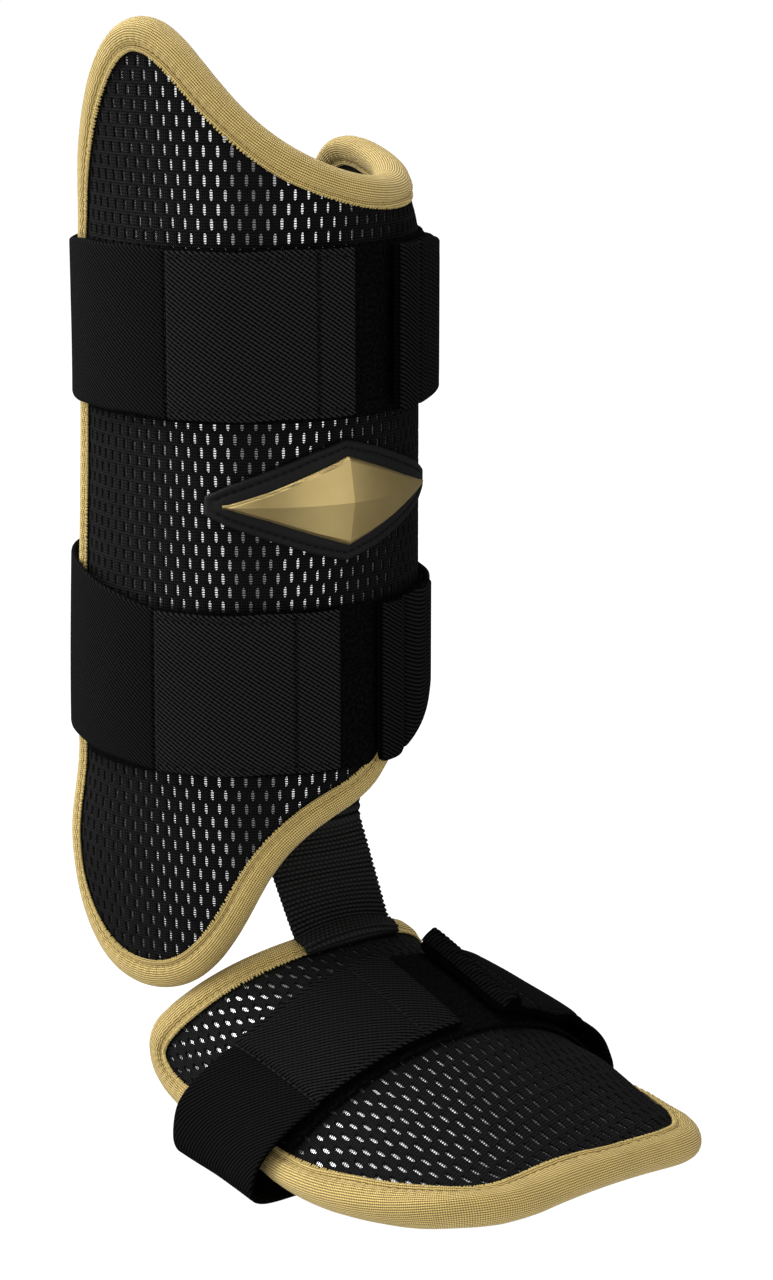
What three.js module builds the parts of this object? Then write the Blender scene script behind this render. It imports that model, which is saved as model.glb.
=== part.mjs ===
import * as THREE from 'three';

// A batter's guard for the shin, ankle and instep: a padded shin panel bent round the front of the leg,
// a padded foot panel over the instep, a webbing that joins them, and three elastic straps.
// Millimetres and degrees. +Z runs up the leg and -Y toward the toe. The origin lies on the leg's axis,
// half way between the two shin straps.

// Layers of both panels. Depths count outward from the outer face of the mesh cover. Tape and strips that
// are laid on the bent faces keep a slightly larger gap.
const GAP = 0.3;
const LAID_GAP = 0.7;
const MESH_THICKNESS = 1.0;
const SHELL_THICKNESS = 1.6;
const PAD_THICKNESS = 4.0;
const MESH_INNER = -MESH_THICKNESS;
const SHELL_OUTER = MESH_INNER - GAP;
const SHELL_INNER = SHELL_OUTER - SHELL_THICKNESS;
const PAD_OUTER = SHELL_INNER - GAP;
const PAD_INNER = PAD_OUTER - PAD_THICKNESS;

// The binding tape folds round the panel's edge and covers a strip of each face.
const TAPE_THICKNESS = 1.2;
const TAPE_WIDTH = 9.5;
const TAPE_OUTER = LAID_GAP + TAPE_THICKNESS;
const TAPE_INNER = PAD_INNER - LAID_GAP - TAPE_THICKNESS;
const TAPE_CORNER = 2.2;
const LAYER_MARGIN = 5.0;
const REAR_MARGIN = 6.0;

// The shin panel is bent to a round section. Its wing leans inward at the top of the outer side. On the
// inner side the upper strap pulls it in a little, and it flares over the ankle.
const SHIN_RADIUS = 53.4;
const WING_LEAN = 8.0;
const STRAP_PULL = 3.2;
const ANKLE_FLARE = 3.0;
const SHIN_COLUMNS = 24;
const SHIN_ROWS = 10;
const SHIN_TAPE_STEPS = 104;

// Outline of the shin panel, one row for each angle from the front, with +X on the positive side.
const SHIN_OUTLINE = [
  { angle: -119, top: 83, bottom: -112 },
  { angle: -113, top: 107, bottom: -124 },
  { angle: -105, top: 121.5, bottom: -132.5 },
  { angle: -97, top: 135, bottom: -138 },
  { angle: -88, top: 147.5, bottom: -142 },
  { angle: -78, top: 154.5, bottom: -143.7 },
  { angle: -68, top: 155, bottom: -143.5 },
  { angle: -58, top: 149.5, bottom: -140.5 },
  { angle: -48, top: 139.5, bottom: -133 },
  { angle: -38, top: 129.5, bottom: -119 },
  { angle: -28, top: 121.5, bottom: -102 },
  { angle: -16, top: 115, bottom: -91.5 },
  { angle: -4, top: 110.5, bottom: -86 },
  { angle: 8, top: 107.7, bottom: -82 },
  { angle: 15, top: 107, bottom: -76 },
  { angle: 22, top: 106.8, bottom: -68.5 },
  { angle: 32, top: 107, bottom: -65 },
  { angle: 60, top: 109.5, bottom: -64 },
  { angle: 80, top: 113, bottom: -64 },
  { angle: 98, top: 114.5, bottom: -63 },
  { angle: 110, top: 109, bottom: -58 },
  { angle: 119, top: 95, bottom: -46 },
];

// The foot panel is a dome whose cross sections are arcs of circles. Each row is a cross section at a
// distance forward of the leg's axis: its middle, half width, lower edge and crown.
const FOOT_SECTIONS = [
  { forward: 14, middle: 0, half: 53.5, low: -160, crown: -117.5 },
  { forward: 20, middle: 0, half: 53.5, low: -171, crown: -119.5 },
  { forward: 38, middle: -1, half: 53, low: -178, crown: -124.5 },
  { forward: 54, middle: -1, half: 54.5, low: -178.5, crown: -129 },
  { forward: 72, middle: 0, half: 58.5, low: -178.5, crown: -133.5 },
  { forward: 100, middle: 0, half: 64, low: -178.5, crown: -141.5 },
  { forward: 120, middle: 0.5, half: 62.5, low: -177.5, crown: -150 },
  { forward: 136, middle: 1.5, half: 57.5, low: -175.5, crown: -158.2 },
  { forward: 148, middle: 3.5, half: 51.5, low: -172.8, crown: -164.8 },
  { forward: 158, middle: 8, half: 43, low: -171, crown: -168.8 },
  { forward: 162.5, middle: 11, half: 35, low: -170.5, crown: -170 },
];
const FOOT_REAR = FOOT_SECTIONS[0].forward;
const FOOT_FRONT = FOOT_SECTIONS.at(-1).forward;
const INSTEP_NOTCH = 30;
const FOOT_COLUMNS = 21;
const FOOT_ROWS = 11;
const FOOT_ROW_EASE = 0.75;
const FOOT_TAPE_STEPS = 68;

// The soft strips that the straps fasten onto.
const LOOP_THICKNESS = 1.0;
const LOOP_OUTER = LAID_GAP + LOOP_THICKNESS;
const LOOP_STEPS = 24;
const STRAP_SEAT = TAPE_OUTER + GAP;

// Elastic straps. Both ends are doubled where the hook tape is sewn on, and the far end is rolled. Past the
// rolled end the lower edge rises by the corner's height round the outer side.
const ELASTIC_THICKNESS = 1.6;
const DOUBLED_THICKNESS = 2.8;
const ROLLED_THICKNESS = 4.6;
const ROLLED_LENGTH = 9;
const STRAP_STEPS = 62;
const SHIN_STRAPS = [
  { name: 'upper_strap', loop: 'upper_loop_strip', low: 38, high: 88, tab: -2.3, seam: -61.5, fold: 13,
    standoff: 1.6, corner: 2, loopFrom: -104, loopTo: 66 },
  { name: 'lower_strap', loop: 'lower_loop_strip', low: -70.5, high: -20.5, tab: -8, seam: -67, fold: 7,
    standoff: 0, corner: 20, loopFrom: -104, loopTo: 60 },
];
const LOOP_OVERHANG = 1.5;
const CORNER_SPAN = 40;
const FOLD_SEAM = 36;

// The foot strap crosses the dome and loops under it, a little clear of its edges.
const FOOT_STRAP_TAB = -1;
const FOOT_STRAP_SEAM = -52;
const FOOT_STRAP_FOLD = 14;
const FOOT_STRAP_ROLL = 7;
const FOOT_STRAP_LEAVES = 74;
const FOOT_STRAP_REAR = 67;
const FOOT_STRAP_FRONT = 105;
const FOOT_STRAP_REAR_SWEEP = 19;
const FOOT_STRAP_UNDER = -184.5;
const FOOT_STRAP_TURN = 11;
const FOOT_STRAP_INSET = 14;
const FOOT_STRAP_LINES = 4;
const FOOT_STRAP_OVER_STEPS = 14;
const FOOT_STRAP_TURN_STEPS = 6;
const FOOT_STRAP_UNDER_STEPS = 5;
const FOOT_LOOP_REACH = 66;
const FOOT_LOOP_EXTRA = 2;

// On each side the foot strap eases off the dome from a distance across, up to these stand-offs, and its
// front edge sweeps back by this much.
const FOOT_STRAP_SIDES = [
  { eases: 40, rear: 8, front: 3, sweep: 12 },
  { eases: 24, rear: 8, front: 6, sweep: 8 },
];

// The webbing is sewn inside the shin panel, drops to the foot panel and lies on its rear edge.
const WEBBING_WIDTH = 36;
const WEBBING_THICKNESS = 1.6;
const WEBBING_TOP = -52;
const WEBBING_LEAVES = -88;
const WEBBING_TOP_MIDDLE = -7;
const WEBBING_FOOT_MIDDLE = 2;
const WEBBING_LANDS = 47;
const WEBBING_ENDS = 57;
const WEBBING_DROP = 20;
const WEBBING_LANDING = 4;
const WEBBING_LINES = 5;
const WEBBING_FALL_STEPS = 7;

// A plain badge between the shin straps: a gold lozenge with four slopes, on a black backing.
const BADGE_ANGLE = -4;
const BADGE_HEIGHT = 12;
const BACKING_OUTER = 2.2;
const PLATE_EDGE = 3.4;
const PLATE_RIDGE = 3.6;
const PLATE_PEAK = 6.0;
const BADGE_COLUMNS = [
  { across: -43, backing: 2.8, plate: 0 },
  { across: -36, backing: 6.2, plate: 0.6 },
  { across: -24, backing: 10.6, plate: 4.4 },
  { across: -11, backing: 15.4, plate: 9.4 },
  { across: 0, backing: 18.5, plate: 13.5 },
  { across: 11, backing: 15.4, plate: 9.4 },
  { across: 24, backing: 10.6, plate: 4.4 },
  { across: 36, backing: 6.2, plate: 0.6 },
  { across: 43, backing: 2.8, plate: 0 },
];

// Finishes.
const FINISHES = {
  mesh: { color: 0x141414, roughness: 0.85, metalness: 0 },
  shell: { color: 0xa6a7aa, roughness: 0.25, metalness: 0.6 },
  lining: { color: 0x161616, roughness: 0.95, metalness: 0 },
  tape: { color: 0xab9564, roughness: 0.7, metalness: 0 },
  elastic: { color: 0x1c1c1c, roughness: 0.85, metalness: 0 },
  loop: { color: 0x121212, roughness: 1, metalness: 0 },
  webbing: { color: 0x191919, roughness: 0.8, metalness: 0 },
  backing: { color: 0x1a191b, roughness: 0.6, metalness: 0 },
  plate: { color: 0xa8945a, roughness: 0.35, metalness: 0.8 },
};

const radians = THREE.MathUtils.degToRad;
const lerp = THREE.MathUtils.lerp;
const ramp = (from, to, x) => THREE.MathUtils.smoothstep((x - from) / (to - from), 0, 1);
const steps = (from, to, count) => Array.from({ length: count }, (_, i) => lerp(from, to, i / (count - 1)));

// A smooth curve through one column of a table: cubic pieces whose slope at a row is that between its
// neighbours.
function smoothColumn(rows, key, value) {
  const slope = (i) => {
    const before = rows[Math.max(i - 1, 0)];
    const after = rows[Math.min(i + 1, rows.length - 1)];
    return (after[value] - before[value]) / (after[key] - before[key]);
  };
  return (x) => {
    const next = rows.findIndex((row) => row[key] > x);
    const i = next < 0 ? rows.length - 2 : Math.max(next - 1, 0);
    const span = rows[i + 1][key] - rows[i][key];
    const t = THREE.MathUtils.clamp((x - rows[i][key]) / span, 0, 1);
    const bend = rows[i + 1][value] - rows[i][value];
    const start = slope(i) * span;
    const end = slope(i + 1) * span;
    return rows[i][value] + t * (start + t * ((3 * bend - 2 * start - end) + t * (start + end - 2 * bend)));
  };
}

// A closed solid through a row of rings. Each ring is a strip: its first half runs along one side, and its
// second half comes back along the other, with its faces split along the same diagonals, so that layers with
// a small gap stay clear. An open row is capped strip by strip, and a closed one joins up.
function loft(rings, closed = false) {
  const count = rings[0].length;
  const index = [];
  const links = closed ? rings.length : rings.length - 1;
  for (let i = 0; i < links; i += 1) {
    const here = i * count;
    const there = ((i + 1) % rings.length) * count;
    for (let k = 0; k < count; k += 1) {
      const next = (k + 1) % count;
      if (k < count / 2) {
        index.push(here + k, there + k, there + next, here + k, there + next, here + next);
      } else {
        index.push(here + k, there + k, here + next, there + k, there + next, here + next);
      }
    }
  }
  if (!closed) {
    const last = (rings.length - 1) * count;
    for (let k = 0; k < count / 2 - 1; k += 1) {
      const mate = count - 1 - k;
      index.push(k, k + 1, mate - 1, k, mate - 1, mate);
      index.push(last + k, last + mate - 1, last + k + 1, last + k, last + mate, last + mate - 1);
    }
  }
  const points = rings.flat();
  if (signedVolume(points, index) < 0) {
    index.reverse();
  }
  const geometry = new THREE.BufferGeometry().setFromPoints(points);
  geometry.setIndex(index);
  geometry.computeVertexNormals();
  return geometry;
}

// Six times the volume that the triangles enclose, positive where they face outward.
function signedVolume(points, index) {
  const cross = new THREE.Vector3();
  let sum = 0;
  for (let i = 0; i < index.length; i += 3) {
    cross.crossVectors(points[index[i + 1]], points[index[i + 2]]);
    sum += points[index[i]].dot(cross);
  }
  return sum;
}

// Shin surface: the point at an arc length across from the front, a height and a depth.
const shinTop = smoothColumn(SHIN_OUTLINE, 'angle', 'top');
const shinBottom = smoothColumn(SHIN_OUTLINE, 'angle', 'bottom');
const shinReach = SHIN_OUTLINE.at(-1).angle;
const shinArc = radians(1) * SHIN_RADIUS;

function shinRadius(angle, height) {
  const lean = WING_LEAN * ramp(0, 55, angle) * ramp(84, 120, height);
  const pulled = ramp(-75, 60, height) * ramp(145, 90, height);
  const pull = STRAP_PULL * ramp(-40, -90, angle) * ramp(-210, -140, angle) * pulled;
  const flare = ANKLE_FLARE * ramp(-60, -112, angle) * ramp(-72, -102, height) * ramp(-146, -102, height);
  return SHIN_RADIUS - lean - pull + flare;
}

function aroundLeg(angle, radius, height) {
  return new THREE.Vector3(radius * Math.sin(radians(angle)), -radius * Math.cos(radians(angle)), height);
}

function onShin(across, height, depth) {
  const angle = across / shinArc;
  return aroundLeg(angle, shinRadius(angle, height) + depth, height);
}

// How far an edge curve is drawn in, measured along the column, to leave a margin square to the edge.
function drawnIn(curve, x, margin, scale) {
  const slope = (curve(x + 1) - curve(x - 1)) / (2 * scale);
  return margin * Math.hypot(1, slope);
}

function shinColumn(angle, margin) {
  return {
    across: angle * shinArc,
    low: shinBottom(angle) + drawnIn(shinBottom, angle, margin, shinArc),
    high: shinTop(angle) - drawnIn(shinTop, angle, margin, shinArc),
  };
}

// A layer of the shin panel between two depths.
function shinLayer(outer, inner) {
  const edge = shinReach - LAYER_MARGIN / shinArc;
  const rings = steps(-edge, edge, SHIN_COLUMNS).map((angle) => {
    const column = shinColumn(angle, LAYER_MARGIN);
    const heights = steps(column.low, column.high, SHIN_ROWS);
    const face = heights.map((height) => onShin(column.across, height, outer));
    const back = heights.map((height) => onShin(column.across, height, inner));
    return [...face, ...back.reverse()];
  });
  return loft(rings);
}

function shinEdge() {
  const angles = steps(-shinReach, shinReach, 120);
  const top = angles.map((angle) => new THREE.Vector2(angle * shinArc, shinTop(angle)));
  const bottom = angles.map((angle) => new THREE.Vector2(angle * shinArc, shinBottom(angle)));
  return [...top, ...bottom.reverse()];
}

// Foot surface: the point at an arc length across from the crown, a distance forward and a depth.
const footMiddle = smoothColumn(FOOT_SECTIONS, 'forward', 'middle');
const footHalf = smoothColumn(FOOT_SECTIONS, 'forward', 'half');
const footLow = smoothColumn(FOOT_SECTIONS, 'forward', 'low');
const footCrown = smoothColumn(FOOT_SECTIONS, 'forward', 'crown');

function footSection(forward) {
  const half = footHalf(forward);
  const rise = footCrown(forward) - footLow(forward);
  const radius = (half * half + rise * rise) / (2 * rise);
  return { radius, reach: radius * Math.atan2(half, radius - rise) };
}

function onFootSkin(across, forward) {
  const { radius } = footSection(forward);
  const angle = across / radius;
  const height = footCrown(forward) - radius * (1 - Math.cos(angle));
  return new THREE.Vector3(footMiddle(forward) + radius * Math.sin(angle), -forward, height);
}

function onFoot(across, forward, depth) {
  const nudge = 0.5;
  const sideways = onFootSkin(across + nudge, forward).sub(onFootSkin(across - nudge, forward));
  const ahead = onFootSkin(across, forward + nudge).sub(onFootSkin(across, forward - nudge));
  const normal = ahead.cross(sideways).normalize();
  return onFootSkin(across, forward).addScaledVector(normal, depth);
}

const footReach = (forward) => footSection(forward).reach;
const footRear = (share) => FOOT_REAR + INSTEP_NOTCH * Math.cos(share * Math.PI / 2) ** 2;

// A layer of the foot panel between two depths. Each ring runs from the rear edge to the front, with its
// rows closer together where the dome curves down to the toe.
function footLayer(outer, inner) {
  const rings = steps(-1, 1, FOOT_COLUMNS).map((share) => {
    const rear = footRear(share) + REAR_MARGIN;
    const spots = steps(0, 1, FOOT_ROWS).map((step) => {
      const forward = lerp(rear, FOOT_FRONT - LAYER_MARGIN, step ** FOOT_ROW_EASE);
      const reach = footReach(forward) - drawnIn(footReach, forward, LAYER_MARGIN, 1);
      return { across: share * reach, forward };
    });
    const face = spots.map((spot) => onFoot(spot.across, spot.forward, outer));
    const back = spots.map((spot) => onFoot(spot.across, spot.forward, inner));
    return [...face, ...back.reverse()];
  });
  return loft(rings);
}

function footEdge() {
  const shares = steps(-1, 1, 60);
  const rear = shares.map((share) => {
    const forward = footRear(share);
    return new THREE.Vector2(share * footReach(forward), forward);
  });
  const distances = steps(FOOT_REAR, FOOT_FRONT, 60);
  const right = distances.map((forward) => new THREE.Vector2(footReach(forward), forward));
  const left = distances.map((forward) => new THREE.Vector2(-footReach(forward), forward));
  return [...rear, ...right, ...left.reverse()];
}

// Evenly spaced points round a closed outline, with sharp turns eased.
function evenLoop(outline, count) {
  const path = new THREE.CurvePath();
  outline.forEach((point, i) => {
    const next = outline[(i + 1) % outline.length];
    if (point.distanceTo(next) > GAP) {
      path.add(new THREE.LineCurve(point, next));
    }
  });
  const even = path.getSpacedPoints(count).slice(0, count);
  return even.map((point, i) => {
    const before = even[(i + count - 1) % count];
    const after = even[(i + 1) % count];
    return point.clone().multiplyScalar(2).add(before).add(after).divideScalar(4);
  });
}

// The binding tape's section as distances in from the edge and depths, round the edge and back inside.
function tapeSection() {
  const outside = [
    [TAPE_WIDTH, TAPE_OUTER],
    [TAPE_CORNER, TAPE_OUTER],
    [0, TAPE_OUTER - TAPE_CORNER],
    [0, TAPE_INNER + TAPE_CORNER],
    [TAPE_CORNER, TAPE_INNER],
    [TAPE_WIDTH, TAPE_INNER],
  ];
  const inside = [
    [TAPE_WIDTH, TAPE_INNER + TAPE_THICKNESS],
    [TAPE_CORNER, TAPE_INNER + TAPE_THICKNESS],
    [TAPE_CORNER, LAID_GAP],
    [TAPE_WIDTH, LAID_GAP],
  ];
  return [...outside, ...inside];
}

function binding(surface, outline, count) {
  const loop = evenLoop(outline, count);
  const area = THREE.ShapeUtils.area(loop);
  const rings = loop.map((point, i) => {
    const along = loop[(i + 1) % count].clone().sub(loop[(i + count - 1) % count]).normalize();
    const inward = new THREE.Vector2(-along.y, along.x).multiplyScalar(Math.sign(area));
    return tapeSection().map(([inset, depth]) => {
      const spot = point.clone().addScaledVector(inward, inset);
      return surface(spot.x, spot.y, depth);
    });
  });
  return loft(rings, true);
}

// The strip of soft loop under a shin strap. It stays clear of the binding at the panel's lower edge.
function shinLoopStrip(strap) {
  const rings = steps(strap.loopFrom, strap.loopTo, LOOP_STEPS).map((angle) => {
    const across = angle * shinArc;
    const clear = shinColumn(angle, TAPE_WIDTH + TAPE_THICKNESS).low;
    const low = Math.max(strap.low - LOOP_OVERHANG, clear);
    return [
      onShin(across, low, LOOP_OUTER),
      onShin(across, strap.high, LOOP_OUTER),
      onShin(across, strap.high, LAID_GAP),
      onShin(across, low, LAID_GAP),
    ];
  });
  return loft(rings);
}

// A shin strap runs from its tab in front, round the back of the leg, to its rolled end.
function shinStrap(strap) {
  const end = strap.fold - 360;
  const rolled = end + ROLLED_LENGTH / shinArc;
  const seam = end + FOLD_SEAM;
  const bends = [...steps(strap.tab, rolled, STRAP_STEPS), rolled - 0.5, end];
  const rings = bends.map((angle) => {
    const doubled = angle > strap.seam || angle < seam;
    const single = doubled ? DOUBLED_THICKNESS : ELASTIC_THICKNESS;
    const thickness = angle < rolled ? ROLLED_THICKNESS : single;
    const lift = strap.standoff * ramp(end + 110, end + 30, angle);
    const depth = STRAP_SEAT + lift;
    const low = strap.low + strap.corner * ramp(end, end + CORNER_SPAN, angle) * ramp(-160, -230, angle);
    const spot = (height, out) => aroundLeg(angle, shinRadius(angle, height) + depth + out, height);
    return [
      spot(low, thickness),
      spot(strap.high, thickness),
      spot(strap.high, 0),
      spot(low, 0),
    ];
  });
  return loft(rings);
}

const footStrapSide = (across) => FOOT_STRAP_SIDES[across > 0 ? 1 : 0];

// The foot strap's cross line at a distance across: its rear and front sweep back as it goes down the side.
function footStrapSpan(across) {
  const sweep = (across / FOOT_STRAP_LEAVES) ** 2;
  const off = footStrapSide(across);
  return {
    rear: FOOT_STRAP_REAR - FOOT_STRAP_REAR_SWEEP * sweep,
    front: FOOT_STRAP_FRONT - off.sweep * sweep,
  };
}

function footLoopStrip() {
  const rings = steps(-FOOT_LOOP_REACH, FOOT_LOOP_REACH, LOOP_STEPS).map((across) => {
    const { rear, front } = footStrapSpan(across);
    const lines = steps(rear, front + FOOT_LOOP_EXTRA, FOOT_STRAP_LINES);
    const face = lines.map((forward) => onFoot(across, forward, LOOP_OUTER));
    const back = lines.map((forward) => onFoot(across, forward, LAID_GAP));
    return [...face, ...back.reverse()];
  });
  return loft(rings);
}

// The foot strap's points and outward directions along a cross line, from its rear to its front.
function strapLineOnFoot(across) {
  const { rear, front } = footStrapSpan(across);
  const off = footStrapSide(across);
  const eased = ramp(off.eases, FOOT_STRAP_LEAVES, Math.abs(across));
  return steps(0, 1, FOOT_STRAP_LINES).map((share) => {
    const forward = lerp(rear, front, share);
    const depth = STRAP_SEAT + lerp(off.rear, off.front, share) * eased;
    const point = onFoot(across, forward, depth);
    const outward = onFoot(across, forward, depth + 1).sub(point);
    return { point, outward };
  });
}

// The strap leaves the dome on one side and turns under it along a Bezier curve.
function strapTurn(side, share) {
  const turned = share * share * (3 - 2 * share);
  return strapLineOnFoot(side * FOOT_STRAP_LEAVES).map(({ point, outward }) => {
    const downward = new THREE.Vector3(side * outward.z, 0, -Math.abs(outward.x)).normalize();
    const under = new THREE.Vector3(point.x - side * FOOT_STRAP_INSET, point.y, FOOT_STRAP_UNDER);
    const curve = new THREE.CubicBezierCurve3(
      point,
      point.clone().addScaledVector(downward, FOOT_STRAP_TURN),
      under.clone().setX(under.x + side * FOOT_STRAP_TURN),
      under,
    );
    const tangent = curve.getTangent(share);
    const facing = new THREE.Vector3(-tangent.z * side, 0, tangent.x * side);
    const start = outward.clone().multiplyScalar(1 - turned);
    return { point: curve.getPoint(share), outward: start.addScaledVector(facing, turned).normalize() };
  });
}

function footStrap() {
  const lines = [];
  const add = (line, thickness) => lines.push({ line, thickness });
  const over = FOOT_STRAP_OVER_STEPS;
  steps(FOOT_STRAP_TAB, -FOOT_STRAP_LEAVES, over).forEach((across) => {
    add(strapLineOnFoot(across), across > FOOT_STRAP_SEAM ? DOUBLED_THICKNESS : ELASTIC_THICKNESS);
  });
  const turns = steps(0, 1, FOOT_STRAP_TURN_STEPS + 1).slice(1);
  turns.forEach((share) => add(strapTurn(-1, share), ELASTIC_THICKNESS));
  const left = strapTurn(-1, 1);
  const right = strapTurn(1, 1);
  steps(0, 1, FOOT_STRAP_UNDER_STEPS + 2).slice(1, -1).forEach((share) => {
    const line = left.map(({ point, outward }, i) => {
      const between = point.clone().lerp(right[i].point, share);
      return { point: between, outward };
    });
    add(line, ELASTIC_THICKNESS);
  });
  turns.slice().reverse().forEach((share) => add(strapTurn(1, share), ELASTIC_THICKNESS));
  const rolled = FOOT_STRAP_FOLD + ROLLED_LENGTH;
  steps(FOOT_STRAP_LEAVES, rolled, over).forEach((across) => {
    add(strapLineOnFoot(across), across < -FOOT_STRAP_SEAM ? DOUBLED_THICKNESS : ELASTIC_THICKNESS);
  });
  add(strapLineOnFoot(rolled - 0.5), FOOT_STRAP_ROLL);
  add(strapLineOnFoot(FOOT_STRAP_FOLD), FOOT_STRAP_ROLL);
  const rings = lines.map(({ line, thickness }) => {
    const back = line.map(({ point }) => point);
    const face = line.map(({ point, outward }) => point.clone().addScaledVector(outward, thickness));
    return [...face, ...back.reverse()];
  });
  return loft(rings);
}

// One face of the webbing, line by line: down the inside of the shin panel, through the open drop along
// Bezier curves, and over the foot panel's rear edge.
function webbingFace(onShinDepth, onFootDepth) {
  const sides = steps(-WEBBING_WIDTH / 2, WEBBING_WIDTH / 2, WEBBING_LINES);
  const spread = SHIN_RADIUS / (SHIN_RADIUS + onShinDepth);
  const shinLine = (height) => sides.map((side) => {
    const across = (WEBBING_TOP_MIDDLE + side) * spread;
    return onShin(across, height, onShinDepth);
  });
  const footLine = (forward) => sides.map((side) => {
    const across = WEBBING_FOOT_MIDDLE + side;
    return onFoot(across, forward, onFootDepth);
  });
  const leaves = shinLine(WEBBING_LEAVES);
  const lands = footLine(WEBBING_LANDS);
  const ends = footLine(WEBBING_ENDS);
  const falls = leaves.map((point, i) => new THREE.CubicBezierCurve3(
    point,
    point.clone().setZ(point.z - WEBBING_DROP),
    lands[i].clone().lerp(ends[i], -WEBBING_LANDING / (WEBBING_ENDS - WEBBING_LANDS)),
    lands[i],
  ));
  const fallLine = (share) => falls.map((curve) => curve.getPoint(share));
  return [shinLine(WEBBING_TOP), ...steps(0, 1, WEBBING_FALL_STEPS).map(fallLine), ends];
}

function ankleWebbing() {
  const inside = TAPE_INNER - LAID_GAP;
  const above = TAPE_OUTER + GAP;
  const front = webbingFace(inside, above + WEBBING_THICKNESS);
  const back = webbingFace(inside - WEBBING_THICKNESS, above);
  return loft(front.map((line, i) => [...line, ...back[i].reverse()]));
}

// The badge's backing and plate, column by column along the front of the shin panel.
function badgePoint(column, height, depth) {
  return onShin(BADGE_ANGLE * shinArc + column.across, BADGE_HEIGHT + height, depth);
}

function badgeBacking() {
  const rings = BADGE_COLUMNS.map((column) => [
    badgePoint(column, -column.backing, BACKING_OUTER),
    badgePoint(column, column.backing, BACKING_OUTER),
    badgePoint(column, column.backing, LAID_GAP),
    badgePoint(column, -column.backing, LAID_GAP),
  ]);
  return loft(rings);
}

function badgePlate() {
  const base = BACKING_OUTER + GAP;
  const columns = BADGE_COLUMNS.filter((column) => column.plate > 0);
  const middle = Math.max(...columns.map((column) => column.plate));
  const rings = columns.map((column) => {
    const ridge = lerp(PLATE_RIDGE, PLATE_PEAK, column.plate / middle);
    return [
      badgePoint(column, -column.plate, PLATE_EDGE),
      badgePoint(column, 0, ridge),
      badgePoint(column, column.plate, PLATE_EDGE),
      badgePoint(column, column.plate, base),
      badgePoint(column, 0, base),
      badgePoint(column, -column.plate, base),
    ];
  });
  return loft(rings);
}

function piece(name, geometry, finish) {
  const mesh = new THREE.Mesh(geometry, new THREE.MeshStandardMaterial(FINISHES[finish]));
  mesh.name = name;
  return mesh;
}

const shinPanel = new THREE.Group();
shinPanel.add(
  piece('shin_pad', shinLayer(PAD_OUTER, PAD_INNER), 'lining'),
  piece('shin_shell', shinLayer(SHELL_OUTER, SHELL_INNER), 'shell'),
  piece('shin_mesh', shinLayer(0, MESH_INNER), 'mesh'),
  piece('shin_binding', binding(onShin, shinEdge(), SHIN_TAPE_STEPS), 'tape'),
  piece('badge_backing', badgeBacking(), 'backing'),
  piece('badge_plate', badgePlate(), 'plate'),
);
for (const strap of SHIN_STRAPS) {
  shinPanel.add(piece(strap.loop, shinLoopStrip(strap), 'loop'));
  shinPanel.add(piece(strap.name, shinStrap(strap), 'elastic'));
}

const footPanel = new THREE.Group();
footPanel.add(
  piece('foot_pad', footLayer(PAD_OUTER, PAD_INNER), 'lining'),
  piece('foot_shell', footLayer(SHELL_OUTER, SHELL_INNER), 'shell'),
  piece('foot_mesh', footLayer(0, MESH_INNER), 'mesh'),
  piece('foot_binding', binding(onFoot, footEdge(), FOOT_TAPE_STEPS), 'tape'),
  piece('foot_loop_strip', footLoopStrip(), 'loop'),
  piece('foot_strap', footStrap(), 'elastic'),
);

const guard = new THREE.Group();
guard.add(shinPanel, footPanel, piece('ankle_webbing', ankleWebbing(), 'webbing'));

export default guard;
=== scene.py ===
"""A batter's guard for the shin, ankle and instep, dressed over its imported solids.

Lengths are in millimetres and angles in degrees until a mesh is made. The frame is the solids' own: +Z runs
up the leg, -Y toward the toe, and the origin lies on the leg's axis half way between the two shin straps.
"""

import logging
import math
from dataclasses import dataclass, field
from enum import Enum
from functools import cached_property
from typing import Any

import bpy
import numpy as np
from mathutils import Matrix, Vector


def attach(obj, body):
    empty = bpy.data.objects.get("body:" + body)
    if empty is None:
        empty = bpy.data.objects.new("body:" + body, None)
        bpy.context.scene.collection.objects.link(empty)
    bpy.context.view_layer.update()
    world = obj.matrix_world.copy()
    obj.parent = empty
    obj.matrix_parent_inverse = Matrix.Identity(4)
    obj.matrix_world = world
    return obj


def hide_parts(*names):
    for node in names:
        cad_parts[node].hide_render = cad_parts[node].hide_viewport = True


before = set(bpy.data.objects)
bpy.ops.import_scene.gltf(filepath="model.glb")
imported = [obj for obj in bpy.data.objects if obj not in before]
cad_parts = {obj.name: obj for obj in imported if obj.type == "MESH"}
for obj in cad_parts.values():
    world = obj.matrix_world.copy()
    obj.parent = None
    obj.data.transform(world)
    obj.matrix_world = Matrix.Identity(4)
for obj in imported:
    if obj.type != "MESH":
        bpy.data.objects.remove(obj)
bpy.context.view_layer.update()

LOG = logging.getLogger("guard")
MM = 0.001
ROOT = "root"
UV_NAME = "millimetres"
# Name of the point value that carries painted shade: on the straps, and in the webbing's grooves and rims.
PAINTED_SHADE = "painted_shade"

# Layers of both panels, as depths outward from the face of the mesh covers.
PILE_SEAT = 0.55
STRAP_SEAT = 2.2
PLATE_INNER = -2.9
PAD_OUTER = -3.2
TAPE_MIDDLE = -3.6
PAD_INNER = -7.2
TAPE_INNER = -9.1
TAPE_WIDTH = 9.5
LAYER_MARGIN = 5.0

# Thickness of the elastic, and its painted shade: the share of its light colour off the tab, on the single
# part and the folded end, and along its rims.
ELASTIC = 1.6
DOUBLED = 2.8
ROLLED = 4.6
OFF_TAB_PAINTED_SHADE = 0.45
RIM_PAINTED_SHADE = 0.12

Array = np.ndarray
Colour = tuple[float, float, float]
Size = tuple[float, float, float]


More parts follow.
